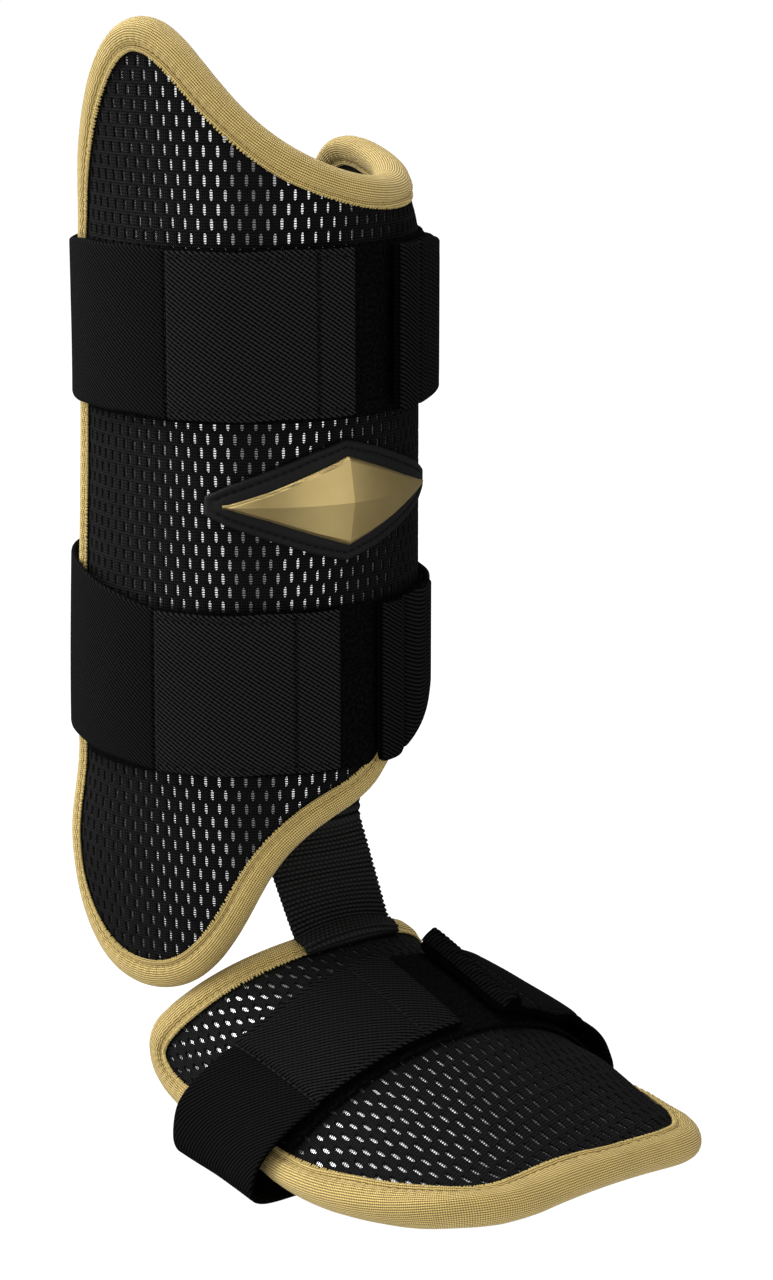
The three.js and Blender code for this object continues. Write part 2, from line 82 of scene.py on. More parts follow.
class Slot(Enum):
    """The record's material slots."""

    LINING = "lining"
    SHELL = "shell"
    MESH = "mesh"
    TAPE = "tape"
    ELASTIC = "elastic"
    LOOP = "loop"
    WEBBING = "webbing"
    BACKING = "backing"
    PLATE = "plate"


class Hold(Enum):
    """How a sheet of cloth is held."""

    LAID = "laid"
    FOLDED = "folded"
    STRETCHED = "stretched"
    HUNG = "hung"


# Shapes


def ramp(start: float, end: float, x: Any) -> Array:
    """A smooth step of x: 3t^2 - 2t^3, where t goes from 0 at start to 1 at end."""
    t = np.clip((np.asarray(x, float) - start) / (end - start), 0.0, 1.0)
    return t * t * (3.0 - 2.0 * t)


def bell(x: Any, width: float) -> Array:
    """A rounded hump of height 1 at zero: e to the power -(x / width)^2."""
    return np.exp(-((np.asarray(x, float) / width) ** 2))


def spaced(length: float, step: float, edge: float) -> Array:
    """Distances along a strip, closer together near both ends where it is rounded.

    Args:
        length: the strip's length.
        step: spacing in the middle.
        edge: length of the rounded part at each end.

    Returns:
        Distances from 0 to length.
    """
    lead = edge * np.array([0.0, 0.1, 0.3, 0.6])
    count = max(int(round((length - 2.0 * edge) / step)) + 1, 2)
    return np.concatenate([lead, np.linspace(edge, length - edge, count), length - lead[::-1]])


def rounding(distance: Array, length: Any, radius: float, least: Any = 0.3) -> Array:
    """The share of a strip's thickness near its ends, a quarter circle: sqrt(1 - (1 - d / radius)^2).

    Args:
        distance: distances from the strip's first end.
        length: the strip's length.
        radius: how far from an end the rounding reaches.
        least: the share that is left at the very end.

    Returns:
        Shares from least to 1.
    """
    near = np.clip(np.minimum(distance, length - distance) / radius, 0.0, 1.0)
    return np.maximum(least, np.sqrt(1.0 - (1.0 - near) ** 2))


def unit(vectors: Array) -> Array:
    """Vectors scaled to length 1."""
    return vectors / np.maximum(np.linalg.norm(vectors, axis=-1, keepdims=True), 1e-9)


def stacked(*values: Any) -> Array:
    """Values, broadcast together, as the coordinates of points."""
    return np.stack(np.broadcast_arrays(*values), -1)


def running(points: Array) -> Array:
    """Running length along the first axis of some points."""
    steps = np.linalg.norm(np.diff(points, axis=0), axis=-1)
    return np.concatenate([np.zeros_like(steps[:1]), np.cumsum(steps, 0)])


def middle_run(grid: Array) -> Array:
    """Running length along the middle line of a grid's rows."""
    return running(grid[:, grid.shape[1] // 2])


def softened(grid: Array, passes: int) -> Array:
    """A grid smoothed along its first axis: each row moves to (before + 2 row + after) / 4, ends stay."""
    for _ in range(passes):
        grid = np.concatenate([grid[:1], (grid[:-2] + 2.0 * grid[1:-1] + grid[2:]) / 4.0, grid[-1:]])
    return grid


def facing(grid: Array, toward: Array) -> Array:
    """Unit normals of a grid: the cross product of its two directions, turned to agree with toward."""
    normal = unit(np.cross(np.gradient(grid, axis=0), np.gradient(grid, axis=1)))
    return normal * np.sign((normal * toward).sum(-1, keepdims=True))


def twice_area(outline: Array) -> float:
    """Twice the signed area inside a closed outline: the sum of x y' - x' y over its sides."""
    x, y = outline.T
    return float((x * np.roll(y, -1) - np.roll(x, -1) * y).sum())


def bezier(control: list[Array], t: Array) -> Array:
    """Cubic Bezier curves, one per column: four rows weighted by (1-t)^3, 3t(1-t)^2, 3t^2(1-t) and t^3."""
    s = t[:, None, None]
    weights = [(1 - s) ** 3, 3 * s * (1 - s) ** 2, 3 * s**2 * (1 - s), s**3]
    return sum(w * c for w, c in zip(weights, control))


def closed_spline(values: Array, count: int) -> Array:
    """A smooth closed curve of count rows through evenly spaced rows of values, by Catmull-Rom cubics."""
    size = len(values)
    place = np.arange(count) * size / count
    index = place.astype(int)
    t = (place - index)[:, None]
    a, b, c, d = (values[(index + k) % size] for k in (-1, 0, 1, 2))
    return b + 0.5 * t * (c - a + t * (2 * a - 5 * b + 4 * c - d + t * (3 * (b - c) + d - a)))


def even_loop(outline: Array, count: int) -> Array:
    """Evenly spaced places round a closed outline, with turns eased by (before + 2 place + after) / 4."""
    ring = np.concatenate([outline, outline[:1]])
    run = running(ring)
    spots = np.arange(count) * run[-1] / count
    even = stacked(*(np.interp(spots, run, ring[:, k]) for k in (0, 1)))
    return (np.roll(even, 1, 0) + 2.0 * even + np.roll(even, -1, 0)) / 4.0


@dataclass(frozen=True)
class Curve:
    """A smooth curve through a short table: cubics whose slope at a row is that between its neighbours."""

    keys: tuple[float, ...]
    values: tuple[float, ...]

    def __call__(self, x: Any) -> Array:
        """The curve's value at x, held level past the ends."""
        k, v = np.array(self.keys, float), np.array(self.values, float)
        rows = np.arange(len(k))
        before, after = np.maximum(rows - 1, 0), np.minimum(rows + 1, len(k) - 1)
        slope = (v[after] - v[before]) / (k[after] - k[before])
        i = np.clip(np.searchsorted(k, x, side="right") - 1, 0, len(k) - 2)
        span, bend = k[i + 1] - k[i], v[i + 1] - v[i]
        t = np.clip((x - k[i]) / span, 0.0, 1.0)
        start, end = slope[i] * span, slope[i + 1] * span
        return v[i] + t * (start + t * ((3 * bend - 2 * start - end) + t * (start + end - 2 * bend)))


@dataclass
class Shape:
    """A mesh in the making: points, quads, surface coordinates in millimetres, and named point values."""

    points: Array
    faces: Array
    uv: Array
    values: dict[str, Array] = field(default_factory=dict)

    def facing_out(self) -> "Shape":
        """The closed shape with its quads facing outward, judged by the sign of its volume."""
        a, b, c, d = (self.points[self.faces[:, k]] for k in range(4))
        volume = (a * np.cross(b, c)).sum() + (a * np.cross(c, d)).sum()
        return self if volume > 0 else Shape(self.points, self.faces[:, ::-1], self.uv, self.values)


def joined(shapes: list[Shape]) -> Shape:
    """Several shapes as one, without point values."""
    starts = np.cumsum([0] + [len(s.points) for s in shapes[:-1]])
    return Shape(np.concatenate([s.points for s in shapes]),
                 np.concatenate([s.faces + start for s, start in zip(shapes, starts)]),
                 np.concatenate([s.uv for s in shapes]))


def lofted(rings: Array, uv: Array, closed: bool = False) -> Shape:
    """A closed skin through a row of rings, joined ring to ring by quads.

    Each ring runs along one face and back along the other. An open row is capped by quads between the faces.

    Args:
        rings: ring points, rows of rings.
        uv: surface coordinates of the same points.
        closed: whether the last ring joins the first.

    Returns:
        The shape, facing outward.
    """
    rows, size = rings.shape[:2]
    i, j = np.arange(rows if closed else rows - 1)[:, None], np.arange(size)[None, :]
    there, after = (i + 1) % rows, (j + 1) % size
    quads = stacked(i * size + j, there * size + j, there * size + after, i * size + after).reshape(-1, 4)
    if not closed:
        k = np.arange(size // 2 - 1)
        cap = stacked(k, k + 1, size - 2 - k, size - 1 - k)
        quads = np.concatenate([quads, cap, cap[:, ::-1] + (rows - 1) * size])
    return Shape(rings.reshape(-1, 3), quads, uv.reshape(-1, 2)).facing_out()


def rim_steps(grid: Array) -> Array:
    """Unit steps from a grid's rim toward its inside; zero away from the rim."""
    step = np.zeros_like(grid)
    for edge, inside in ((0, 1), (-1, -2)):
        step[edge] += unit(grid[inside] - grid[edge])
        step[:, edge] += unit(grid[:, inside] - grid[:, edge])
    return step


def slab(inner: Array, outward: Array, thickness: Any, share: Array, uv: Array, split: Any = 0.0) -> Shape:
    """A closed slab on a grid: both faces close in toward the middle of its thickness where share falls.

    A line round the rim, half way between the faces, can be drawn in, so that the slab shows two layers.

    Args:
        inner: points of the inner face, rows by columns.
        outward: unit directions of the thickness.
        thickness: thickness at each point.
        share: rounding shares at each point, 1 where the slab has its full thickness.
        uv: surface coordinates of the grid.
        split: how far the rim's middle line is drawn in at each point.

    Returns:
        The slab.
    """
    rows, columns = share.shape
    full = np.broadcast_to(thickness, share.shape)
    high = inner + outward * (full * (1.0 + share) / 2.0)[..., None]
    low = inner + outward * (full * (1.0 - share) / 2.0)[..., None]
    index = np.arange(rows * columns).reshape(rows, columns)
    rim = np.concatenate([index[0], index[1:, -1], index[-1, -2::-1], index[-2:0:-1, 0]])
    middle = (high + low) / 2.0
    middle = middle + rim_steps(middle) * np.broadcast_to(split, share.shape)[..., None]
    folded = uv - rim_steps(uv) * full[..., None] / 2.0
    face = stacked(index[:-1, :-1], index[1:, :-1], index[1:, 1:], index[:-1, 1:]).reshape(-1, 4)
    count, after = rows * columns, np.roll(rim, -1)
    line = 2 * count + np.arange(len(rim))
    line_after = np.roll(line, -1)
    quads = [face, face[:, ::-1] + count, stacked(rim, after, line_after, line),
             stacked(line, line_after, after + count, rim + count)]
    flat = uv.reshape(-1, 2)
    points = np.concatenate([high.reshape(-1, 3), low.reshape(-1, 3), middle.reshape(-1, 3)[rim]])
    places = np.concatenate([flat, flat, folded.reshape(-1, 2)[rim]])
    return Shape(points, np.concatenate(quads), places).facing_out()


def with_painted_shade(made: Shape, painted_shade: Array, rim: float) -> Shape:
    """A slab with painted shade, the share of its cloth's light colour, as a value of its points.

    Args:
        made: the slab.
        painted_shade: painted shade on both faces, rows by columns.
        rim: painted shade of the rim.

    Returns:
        The same slab.
    """
    face = painted_shade.copy()
    face[[0, -1]] = rim
    face[:, [0, -1]] = rim
    line = np.full(len(made.points) - 2 * face.size, rim)
    made.values[PAINTED_SHADE] = np.concatenate([face.ravel(), face.ravel(), line])
    return made


def grains(centres: Array, along: Array, outward: Array, size: Size) -> Shape:
    """Small rounded grains, such as stitches: six-sided rings whose radius swells toward the middle.

    Args:
        centres: middle of each grain.
        along: unit direction of each grain's length.
        outward: unit direction away from the cloth.
        size: length, width and height of a grain.

    Returns:
        All grains as one shape.
    """
    length, width, height = size
    t = np.array([-0.5, -0.34, 0.0, 0.34, 0.5])
    swell = np.array([0.35, 0.85, 1.0, 0.85, 0.35])
    turn = np.arange(6) * math.pi / 3.0
    side = unit(np.cross(along, outward))
    rings = (
        centres[:, None, None]
        + along[:, None, None] * (t * length)[None, :, None, None]
        + side[:, None, None] * (swell[:, None] * np.cos(turn) * width / 2.0)[None, :, :, None]
        + outward[:, None, None] * (swell[:, None] * np.sin(turn) * height / 2.0)[None, :, :, None]
    )
    uv = np.broadcast_to(stacked((t * length)[:, None], turn), (*rings.shape[:3], 2))
    starts = np.arange(len(centres)) * t.size * turn.size
    quads = (lofted(rings[0], uv[0]).faces[None] + starts[:, None, None]).reshape(-1, 4)
    return Shape(rings.reshape(-1, 3), quads, uv.reshape(-1, 2))


# Panel skins

SHIN_ANGLES = (-119, -113, -105, -97, -88, -78, -68, -58, -48, -38, -28,
               -16, -4, 8, 15, 22, 32, 60, 80, 98, 110, 119)
FOOT_FORWARDS = (14, 20, 38, 54, 72, 100, 120, 136, 148, 158, 162.5)


@dataclass(frozen=True)
class ShinSkin:
    """The face of the shin panel, bent round the leg. Places are an arc length across and a height."""

    radius: float = 53.4
    lean: float = 8.0
    pull: float = 3.2
    flare: float = 3.0
    reach: float = 119.0
    edge_steps: int = 104
    handed: int = 1
    top: Curve = Curve(SHIN_ANGLES, (83, 107, 121.5, 135, 147.5, 154.5, 155, 149.5, 139.5, 129.5, 121.5,
                                     115, 110.5, 107.7, 107, 106.8, 107, 109.5, 113, 114.5, 109, 95))
    bottom: Curve = Curve(SHIN_ANGLES, (-112, -124, -132.5, -138, -142, -143.7, -143.5, -140.5, -133, -119,
                                        -102, -91.5, -86, -82, -76, -68.5, -65, -64, -64, -63, -58, -46))

    @property
    def arc(self) -> float:
        """Arc length of one degree."""
        return math.radians(1.0) * self.radius

    def radius_at(self, angle: Any, height: Any) -> Array:
        """The radius, less the wing's lean and the strap's pull, and with the flare over the ankle."""
        lean = self.lean * ramp(0, 55, angle) * ramp(84, 120, height)
        pulled = ramp(-75, 60, height) * ramp(145, 90, height)
        pull = self.pull * ramp(-40, -90, angle) * ramp(-210, -140, angle) * pulled
        flare = self.flare * ramp(-60, -112, angle) * ramp(-72, -102, height) * ramp(-146, -102, height)
        return self.radius - lean - pull + flare

    def around(self, angle: Any, height: Any, depth: Any) -> Array:
        """Points at an angle from the front, a height and a depth: (r sin, -r cos, height)."""
        turn = np.radians(angle)
        radius = self.radius_at(angle, height) + depth
        return stacked(radius * np.sin(turn), -radius * np.cos(turn), height)

    def place(self, across: Any, height: Any, depth: Any) -> Array:
        """Points at an arc length across, a height and a depth."""
        return self.around(np.asarray(across) / self.arc, np.asarray(height, float), depth)

    def outward(self, across: Any, height: Any) -> Array:
        """Unit directions away from the leg's axis."""
        turn = np.radians(np.asarray(across) / self.arc)
        return stacked(np.sin(turn), -np.cos(turn), 0.0 * np.asarray(height))

    def drawn_in(self, curve: Curve, angle: Any, margin: float) -> Array:
        """How far an edge is drawn in along a column, so that the margin lies square to the edge."""
        return margin * np.hypot(1.0, (curve(angle + 1.0) - curve(angle - 1.0)) / (2.0 * self.arc))

    def column(self, angle: Any, margin: float) -> tuple[Array, Array]:
        """The lower and upper end of the panel's columns at some angles, a margin inside the edge."""
        low = self.bottom(angle) + self.drawn_in(self.bottom, angle, margin)
        return low, self.top(angle) - self.drawn_in(self.top, angle, margin)

    def inside(self, across: Array, height: Array, margin: float) -> Array:
        """Whether places lie inside the panel's outline by a margin."""
        low, high = self.column(across / self.arc, margin)
        return (np.abs(across) < self.reach * self.arc - margin) & (height > low) & (height < high)

    def sheet(self, margin: float, step: float) -> tuple[Array, Array, Array, Array]:
        """A grid over the panel, column by column.

        Args:
            margin: distance from the outline.
            step: spacing of the grid.

        Returns:
            Across, height, distance along each column and each column's length.
        """
        across = -self.reach * self.arc + margin + spaced(2.0 * (self.reach * self.arc - margin), step, 1.5)
        low, high = self.column(across / self.arc, margin)
        share = spaced(1.0, step / 180.0, 0.012)
        length = (high - low)[:, None]
        along = share[None, :] * length
        return np.repeat(across[:, None], len(share), 1), low[:, None] + along, along, length

    def tape_share(self, across: Array, height: Array) -> Array:
        """The binding tape has its full width all round."""
        return np.ones(np.broadcast(across, height).shape)

    def edge(self) -> Array:
        """The outline as a closed row of places."""
        angle = np.linspace(-self.reach, self.reach, 120)
        top, bottom = (stacked(angle * self.arc, curve(angle)) for curve in (self.top, self.bottom))
        return np.concatenate([top, bottom[::-1]])


@dataclass(frozen=True)
class FootSkin:
    """The face of the foot panel, a dome of circle arcs. Places are an arc length across and one forward."""

    notch: float = 30.0
    swell: float = 2.6
    swell_at: float = 0.66
    swell_width: float = 0.2
    narrow: float = 0.45
    toe_narrow: float = 0.2
    edge_steps: int = 68
    handed: int = -1
    heel: float = FOOT_FORWARDS[0]
    toe: float = FOOT_FORWARDS[-1]
    middle: Curve = Curve(FOOT_FORWARDS, (0, 0, -1, -1, 0, 0, 0.5, 1.5, 3.5, 8, 11))
    half: Curve = Curve(FOOT_FORWARDS, (53.5, 53.5, 53, 54.5, 58.5, 64, 62.5, 57.5, 51.5, 43, 35))
    low: Curve = Curve(FOOT_FORWARDS, (-160, -171, -178, -178.5, -178.5, -178.5, -177.5, -175.5,
                                       -172.8, -171, -170.5))
    crown: Curve = Curve(FOOT_FORWARDS, (-117.5, -119.5, -124.5, -129, -133.5, -141.5, -150, -158.2,
                                         -164.8, -168.8, -170))

    def radius_at(self, forward: Any) -> Array:
        """Radius of a cross section: (half^2 + rise^2) / (2 rise)."""
        rise = self.crown(forward) - self.low(forward)
        return (self.half(forward) ** 2 + rise**2) / (2.0 * rise)

    def reach(self, forward: Any) -> Array:
        """Arc length from the crown to the lower edge."""
        radius = self.radius_at(forward)
        return radius * np.arctan2(self.half(forward), radius - self.crown(forward) + self.low(forward))

    def rear(self, share: Any) -> Array:
        """The rear edge's distance forward, by share of the way to a side: a notch of cosine squared."""
        return self.heel + self.notch * np.cos(np.asarray(share) * math.pi / 2.0) ** 2

    def skin(self, across: Any, forward: Any) -> Array:
        """Points of the outer face."""
        radius = self.radius_at(forward)
        turn = across / radius
        height = self.crown(forward) - radius * (1.0 - np.cos(turn))
        beside = bell(across / self.reach(forward) - self.swell_at, self.swell_width)
        height = height + self.swell * beside * self.outer_toe(forward)
        return stacked(self.middle(forward) + radius * np.sin(turn), -forward, height)

    def outer_toe(self, forward: Any) -> Array:
        """1 between the strap and the toe, where the foam swells on the outer side over a narrower tape."""
        return ramp(104.0, 118.0, forward) * ramp(158.0, 146.0, forward)

    def tape_share(self, across: Array, forward: Array) -> Array:
        """The binding tape's width on the face as a share of its full width."""
        side = (across > 0) * ramp(102.0, 120.0, forward) * ramp(166.0, 140.0, forward)
        toe = ramp(-15.0, 10.0, across) * ramp(150.0, 161.0, forward)
        return 1.0 - self.narrow * side - self.toe_narrow * toe

    def outward(self, across: Any, forward: Any) -> Array:
        """Unit normals of the outer face, from small steps both ways."""
        across, forward = np.asarray(across, float), np.asarray(forward, float)
        sideways = self.skin(across + 0.5, forward) - self.skin(across - 0.5, forward)
        ahead = self.skin(across, forward + 0.5) - self.skin(across, forward - 0.5)
        return unit(np.cross(ahead, sideways))

    def place(self, across: Any, forward: Any, depth: Any) -> Array:
        """Points at an arc length across, a distance forward and a depth along the normal."""
        across, forward = np.asarray(across, float), np.asarray(forward, float)
        rise = np.asarray(depth, float)[..., None]
        return self.skin(across, forward) + self.outward(across, forward) * rise

    def side(self, forward: Any, margin: float) -> Array:
        """Arc length to the side at a distance forward, a margin inside the edge."""
        slope = (self.reach(forward + 1.0) - self.reach(forward - 1.0)) / 2.0
        return self.reach(forward) - margin * np.hypot(1.0, slope)

    def inside(self, across: Array, forward: Array, margin: float) -> Array:
        """Whether places lie inside the panel's outline by a margin."""
        side = self.side(forward, margin)
        rear = self.rear(np.clip(across / np.maximum(side, 1.0), -1.0, 1.0)) + margin
        return (np.abs(across) < side) & (forward > rear) & (forward < self.toe - margin)

    def sheet(self, margin: float, step: float) -> tuple[Array, Array, Array, Array]:
        """A grid over the panel, each row from the rear edge to the front.

        Args:
            margin: distance from the outline.
            step: spacing of the grid.

        Returns:
            Across, forward, distance along each row and each row's length.
        """
        share = -1.0 + spaced(2.0, step / 65.0, 0.03)
        rear = self.rear(share) + margin + 1.0
        length = (self.toe - margin - rear)[:, None]
        along = spaced(1.0, step / 130.0, 0.015)[None, :] ** 0.9 * length
        forward = rear[:, None] + along
        return share[:, None] * self.side(forward, margin), forward, along, length

    def edge(self) -> Array:
        """The outline as a closed row of places."""
        share = np.linspace(-1.0, 1.0, 60)
        rear = stacked(share * self.reach(self.rear(share)), self.rear(share))
        forward = np.linspace(self.heel, self.toe, 60)
        right = stacked(self.reach(forward), forward)
        return np.concatenate([rear, right, right[::-1] * [-1.0, 1.0]])


Skin = ShinSkin | FootSkin


# Finishes


class Wire:
    """A value in a node tree. Arithmetic on it adds Math nodes."""

    def __init__(self, graph: "Graph", socket: Any) -> None:
        """Wraps an output socket."""
        self.graph = graph
        self.socket = socket

    def math(self, operation: str, *others: Any) -> "Wire":
        """A Math node on this value and others."""
        return self.graph.wire("ShaderNodeMath", {"operation": operation}, dict(enumerate((self, *others))))

    def __add__(self, other: Any) -> "Wire":
        """Sum."""
        return self.math("ADD", other)

    __radd__ = __add__

    def __sub__(self, other: Any) -> "Wire":
        """Difference."""
        return self.math("SUBTRACT", other)

    def __rsub__(self, other: float) -> "Wire":
        """Difference from a number."""
        return self.graph.wire("ShaderNodeMath", {"operation": "SUBTRACT"}, {0: other, 1: self})

    def __mul__(self, other: Any) -> "Wire":
        """Product."""
        return self.math("MULTIPLY", other)

    def __truediv__(self, other: Any) -> "Wire":
        """Quotient."""
        return self.math("DIVIDE", other)

    def wave(self, pitch: float) -> "Wire":
        """A sine of that pitch, from 0 to 1."""
        return (self * (2.0 * math.pi / pitch)).math("SINE") * 0.5 + 0.5

    def between(self, low: float, high: float) -> "Wire":
        """A smooth step from 0 at low to 1 at high."""
        settings = {"interpolation_type": "SMOOTHSTEP"}
        return self.graph.wire("ShaderNodeMapRange", settings, {0: self, 1: low, 2: high})


class Graph:
    """A material's node tree."""

    def __init__(self, name: str) -> None:
        """Starts an empty material."""
        self.material = bpy.data.materials.new(name)
        self.material.use_nodes = True
        self.tree = self.material.node_tree
        self.tree.nodes.clear()

    def node(self, kind: str, settings: dict[str, Any], sockets: dict[Any, Any]) -> Any:
        """Adds a node.

        Args:
            kind: the node's type.
            settings: its properties, set first.
            sockets: values or wires by socket name or number.

        Returns:
            The node.
        """
        made = self.tree.nodes.new(kind)
        for key, value in settings.items():
            setattr(made, key, value)
        for key, value in sockets.items():
            if isinstance(value, Wire):
                self.tree.links.new(value.socket, made.inputs[key])
            else:
                made.inputs[key].default_value = value
        return made

    def wire(self, kind: str, settings: dict[str, Any], sockets: dict[Any, Any], out: Any = 0) -> Wire:
        """Adds a node and gives one of its outputs."""
        return Wire(self, self.node(kind, settings, sockets).outputs[out])

    @cached_property
    def spot(self) -> Wire:
        """The piece's own surface coordinates in millimetres."""
        return self.wire("ShaderNodeUVMap", {"uv_map": UV_NAME}, {})

    @cached_property
    def u(self) -> Wire:
        """The first surface coordinate."""
        return self.wire("ShaderNodeSeparateXYZ", {}, {0: self.spot}, 0)

    @cached_property
    def v(self) -> Wire:
        """The second surface coordinate."""
        return self.wire("ShaderNodeSeparateXYZ", {}, {0: self.spot}, 1)

    def solid_places(self) -> Wire:
        """Object coordinates in metres."""
        return self.wire("ShaderNodeTexCoord", {}, {}, "Object")

    def point_value(self, name: str) -> Wire:
        """A named value of the piece's points."""
        return self.wire("ShaderNodeAttribute", {"attribute_name": name}, {}, "Fac")

    def noise(self, places: Wire, scale: float, detail: float = 2.0) -> Wire:
        """Noise from about 0 to 1."""
        return self.wire("ShaderNodeTexNoise", {}, {"Vector": places, "Scale": scale, "Detail": detail})

    def sway(self, scale: float, amount: float) -> Wire:
        """A slow shift of the surface coordinates, half the amount either way."""
        return (self.noise(self.spot, scale) - 0.5) * amount

    def stretched(self, places: Wire, scale: tuple[float, float, float]) -> Wire:
        """Places scaled differently along each axis."""
        return self.wire("ShaderNodeMapping", {}, {"Vector": places, "Scale": scale})

    def tint(self, share: Wire, low: Colour, high: Colour) -> Wire:
        """A colour between two, by a share."""
        sockets = {0: share, 6: (*low, 1.0), 7: (*high, 1.0)}
        return self.wire("ShaderNodeMix", {"data_type": "RGBA"}, sockets, 2)

    def bump(self, height: Wire, distance: float) -> Wire:
        """A Bump node's normal. The distance is in millimetres for a height of 1."""
        return self.wire("ShaderNodeBump", {}, {"Strength": 1.0, "Distance": distance * MM, "Height": height})

    def finish(self, **sockets: Any) -> bpy.types.Material:
        """Closes the tree with a Principled shader, whose sockets are named with underscores for blanks."""
        named = {key.replace("_", " "): value for key, value in sockets.items()}
        shader = self.node("ShaderNodeBsdfPrincipled", {}, named)
        output = self.node("ShaderNodeOutputMaterial", {}, {})
        self.tree.links.new(shader.outputs[0], output.inputs[0])
        return self.material


Recipe = tuple[Wire, dict[str, Any]]


@dataclass(frozen=True)
class Finish:
    """A look, with the colours of its lowest and its highest places; where its share follows the cloth's
    relief, the step between them is painted shade and painted highlight.
    """

    name: str
    dark: Colour
    light: Colour

    def recipe(self, g: Graph) -> Recipe:
        """The share of the light colour, and the shader's other sockets."""
        raise NotImplementedError

    def material(self) -> bpy.types.Material:
        """The recipe as a material, tinted between the two colours."""
        g = Graph(self.name)
        share, sockets = self.recipe(g)
        return g.finish(Base_Color=g.tint(share, self.dark, self.light), **sockets)


@dataclass(frozen=True)
class WovenTape(Finish):
    """Woven tape: fine ribs along the edge, crossed by weft, with painted shade in its creases and painted
    highlight on its ribs.
    """

    rib: float = 0.72
    weft: float = 0.62

    def recipe(self, g: Graph) -> Recipe:
        """Ribs and weft add up to a height that sets bump and paints shade and highlight into the colour;
        noise varies the dye a little.
        """
        sway = g.sway(0.35, 0.25)
        height = (g.v + sway).wave(self.rib) * 0.62 + (g.u + sway).wave(self.weft) * 0.38
        # The weave's height paints shade into the creases and highlight onto the ribs; the noise is the dye's
        # own variation.
        share = height * 0.88 + g.noise(g.spot, 0.12, 3.0) * 0.12
        return share.between(0.1, 0.95), dict(Roughness=0.86 - height * 0.22, Specular_IOR_Level=0.28,
                                              Sheen_Weight=0.12, Normal=g.bump(height, 0.28))


@dataclass(frozen=True)
class TwillElastic(Finish):
    """Black elastic in a diagonal twill: a grey ground of painted sheen with thin, broken dark lines of
    painted shade.
    """

    slope: float
    pitch: float = 1.05
    dash: float = 1.35

    def recipe(self, g: Graph) -> Recipe:
        """Twill lines lie where v - slope u is constant; waves along them break up the dark gaps, which are
        painted shade.
        """
        sway, length = g.sway(0.5, 0.3), math.hypot(1.0, self.slope)
        twill = ((g.v - g.u * self.slope + sway) / length).wave(self.pitch)
        floats = ((g.u + g.v * self.slope + sway * 3.0) / length).wave(self.dash)
        height = (twill + floats * 0.3).between(0.2, 0.95) * 0.7 + g.noise(g.spot, 1.9, 3.0) * 0.3
        # The twill's height paints sheen onto the ground and shade into the gaps, scaled by the strap's
        # painted shade.
        return height.between(0.18, 0.85) * g.point_value(PAINTED_SHADE), dict(
            Roughness=0.92 - height * 0.2, Specular_IOR_Level=0.025, Normal=g.bump(height, 0.2))


@dataclass(frozen=True)
class LoopPile(Finish):
    """Fuzzy black loop pile."""

    def recipe(self, g: Graph) -> Recipe:
        """Two noises, one for tufts and one for loose fibres, make the height."""
        tufts = g.noise(g.spot, 0.9, 4.0)
        height = tufts * 0.6 + g.noise(g.stretched(g.spot, (1.0, 3.2, 1.0)), 2.2, 3.0) * 0.4
        return height.between(0.38, 0.68), dict(
            Roughness=0.85 + tufts * 0.15, Specular_IOR_Level=0.02, Normal=g.bump(height, 0.7))


@dataclass(frozen=True)
class CoarseWebbing(Finish):
    """Coarse black webbing: cords with painted highlight on their crowns and painted shade in the grooves
    between them.
    """

    def recipe(self, g: Graph) -> Recipe:
        """The weave's height, a value of the piece's points, paints shade and highlight into the colour;
        filaments run across it.
        """
        filaments = g.noise(g.stretched(g.spot, (4.5, 0.7, 1.0)), 1.6, 2.0)
        # Painted shade in the grooves and on the rims, painted highlight on the crowns, from the weave's
        # height.
        height = g.point_value(PAINTED_SHADE) * 0.72 + filaments * 0.28
        return height.between(0.2, 0.85), dict(
            Roughness=0.85 - filaments * 0.25, Specular_IOR_Level=0.05, Normal=g.bump(filaments, 0.12))


@dataclass(frozen=True)
class SlottedKnit(Finish):
    """Black knitted mesh: small loops in columns and rows, with painted sheen on the loops and painted shade
    between them.
    """

    def recipe(self, g: Graph) -> Recipe:
        """Rows and columns of loops multiply to small dots of painted sheen; a slower noise varies their
        colour at random.
        """
        sway = g.sway(0.6, 0.35)
        dots = (g.u + sway).wave(0.70) * (g.v + sway).wave(0.92)
        # The loops' dots paint sheen on the loops and shade between them; the noise varies the colour at
        # random.
        share = dots * 0.7 + g.noise(g.spot, 0.25, 2.0) * 0.3
        return share.between(0.1, 0.9), dict(
            Roughness=0.85 - dots * 0.25, Specular_IOR_Level=0.1, Normal=g.bump(dots, 0.25))


@dataclass(frozen=True)
class SilverPlate(Finish):
    """Smooth silver moulded plate: the lower its metal share, the more evenly it scatters light."""

    metal: float
    gloss: float

    def recipe(self, g: Graph) -> Recipe:
        """Soft mottling of the moulding in colour and gloss."""
        mottle = g.noise(g.solid_places(), 60.0, 3.0)
        grain = g.noise(g.solid_places(), 900.0, 2.0)
        return mottle, dict(
            Metallic=self.metal, Roughness=self.gloss + mottle * 0.12, Normal=g.bump(grain, 0.01))


@dataclass(frozen=True)
class FoamLining(Finish):
    """Black brushed knit over foam."""

    def recipe(self, g: Graph) -> Recipe:
        """Small knit loops in rows and columns, with painted sheen on the loops and painted shade between
        them, under a brushed nap.
        """
        nap = g.noise(g.spot, 1.3, 4.0)
        # The loops' relief paints sheen and shade into the colour; the nap varies it at random.
        height = g.u.wave(1.5) * g.v.wave(1.1) * 0.5 + nap * 0.5
        return height.between(0.2, 0.8), dict(
            Roughness=0.8 + nap * 0.2, Specular_IOR_Level=0.08, Normal=g.bump(height, 0.3))


